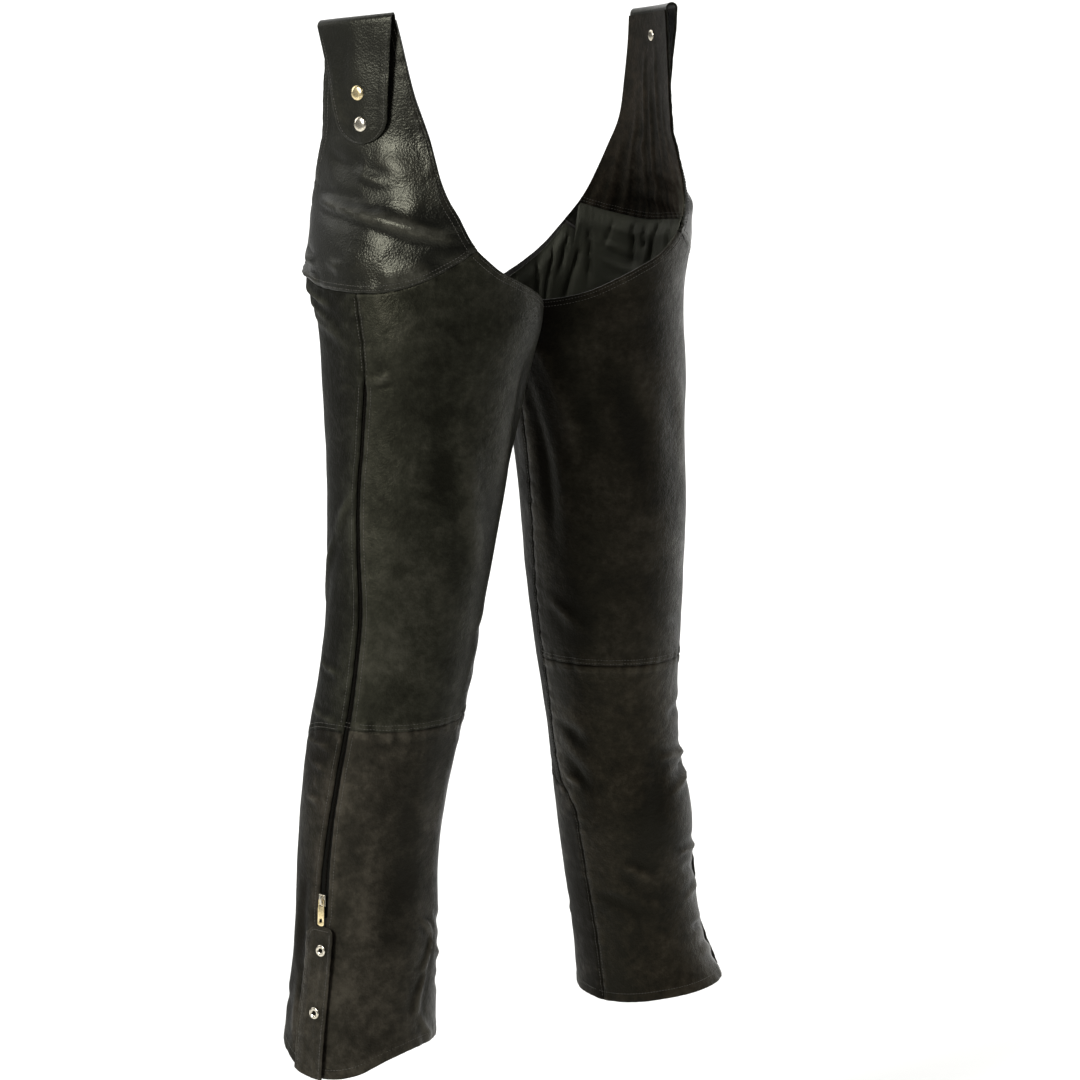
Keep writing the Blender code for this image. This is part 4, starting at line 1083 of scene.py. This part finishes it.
def softened(name, node, width, look, body=BODY):
    """A CAD node's own form with its edges rounded over, width in mm."""
    bpy.ops.object.select_all(action="DESELECT")
    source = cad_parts[node]
    mesh = source.data.copy()
    mesh.transform(source.matrix_world)
    mesh.materials.clear()
    piece = bpy.data.objects.new(name, mesh)
    bpy.context.scene.collection.objects.link(piece)
    bpy.context.view_layer.objects.active = piece
    piece.select_set(True)
    bpy.ops.object.mode_set(mode="EDIT")
    bpy.ops.mesh.select_all(action="SELECT")
    bpy.ops.mesh.remove_doubles(threshold=0.00001)
    bpy.ops.mesh.dissolve_limited(angle_limit=math.radians(2))
    bpy.ops.object.mode_set(mode="OBJECT")
    soft = piece.modifiers.new("soft", "BEVEL")
    soft.width, soft.segments, soft.angle_limit = width * MM, 3, math.radians(35)
    soft.limit_method = "ANGLE"
    bpy.ops.object.modifier_apply(modifier="soft")
    bpy.ops.object.shade_smooth_by_angle(angle=math.radians(40))
    piece.data.materials.append(look)
    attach(piece, body)
    stand_for(piece, node)


for side, outwards in SIDES.items():
    for which, look in (("upper", WARM_NICKEL), ("lower", NICKEL)):
        cap(f"strap_snap_{which}_{side}", f"strap_cap_{which}_{side}", STRAP_CAP, outwards, look)
        softened(f"strap_post_{which}_{side}", f"strap_stud_{which}_{side}", 0.2, NICKEL)
    for which in ("upper", "lower"):
        cap(f"hem_snap_{which}_{side}", f"hem_cap_{which}_{side}", HEM_CAP, outwards, NICKEL,
            lift=HEM_LIFT, socket=HEM_PAINTED_DARK)
    cap(f"strap_rivet_head_{side}", f"strap_rivet_{side}", RIVET, -outwards, NICKEL, sides=32)
    softened(f"zip_slider_cast_{side}", f"zip_slider_{side}", 0.35, NICKEL)
    softened(f"zip_pull_tab_{side}", f"zip_pull_{side}", 0.3, WARM_NICKEL, f"pull_{side}")


# Studio

FLOOR_Z = -1.25
bpy.ops.object.select_all(action="DESELECT")
bpy.ops.mesh.primitive_plane_add(size=140, location=(0, 0, FLOOR_Z))
floor = bpy.context.object
floor.name = "studio_floor"
bpy.ops.object.transform_apply(location=True)
paper, _, _ = finish("white_backdrop_paper", 0.9, Base_Color=linear("#f4f4f2"), Specular_IOR_Level=0.1)
floor.data.materials.append(paper)

# Soft boxes. Columns: name, place, the point it looks at, watts, width and height in metres
LIGHTS = [
    ("overhead", (14.6, 16.4, 1.3), (14.6, 16.4, -1), 3300, (15, 44)),      # whitens the floor far behind
    ("key", (-2.85, -0.2, 0.72), (-0.15, 0, -0.15), 88, (0.7, 1.2)),
    ("front", (-1.2, -3.2, 1.8), (0, 0, -0.3), 10, (0.9, 0.9)),
    ("fill", (2.5, -0.3, -0.7), (0.1, 0, -0.7), 4.5, (0.5, 0.9)),
    ("rim", (-2.0, 2.0, 0.6), (-0.1, 0, -0.5), 8, (0.5, 1.4)),
]
VIEW_TURN = math.radians(-42)
FOCAL, FRAME = 3333, 1080                # focal length and frame width in pixels
for name, place, target, watts, size in LIGHTS:
    lamp = bpy.data.lights.new(name, "AREA")
    lamp.energy, lamp.shape = watts, "RECTANGLE"
    lamp.size, lamp.size_y = size
    soft_box = bpy.data.objects.new(name, lamp)
    bpy.context.scene.collection.objects.link(soft_box)
    soft_box.location = place
    soft_box.rotation_euler = (Vector(target) - Vector(place)).to_track_quat("-Z", "Y").to_euler()
bpy.data.objects["overhead"].rotation_euler = (0, 0, VIEW_TURN)
world = bpy.data.worlds.new("studio")
world.use_nodes = True
world.node_tree.nodes["Background"].inputs["Color"].default_value = linear("#ffffff")
world.node_tree.nodes["Background"].inputs["Strength"].default_value = 0.08
bpy.context.scene.world = world
bpy.context.scene.view_settings.view_transform = "Standard"

lens = bpy.data.cameras.new("camera")
lens.lens = 36 * FOCAL / FRAME
lens.clip_end = 200
camera = bpy.data.objects.new("camera", lens)
bpy.context.scene.collection.objects.link(camera)
camera.location = (-2.1594, -2.4278, 0.1551)
camera.rotation_euler = (math.radians(78.62), 0, VIEW_TURN)
bpy.context.scene.camera = camera
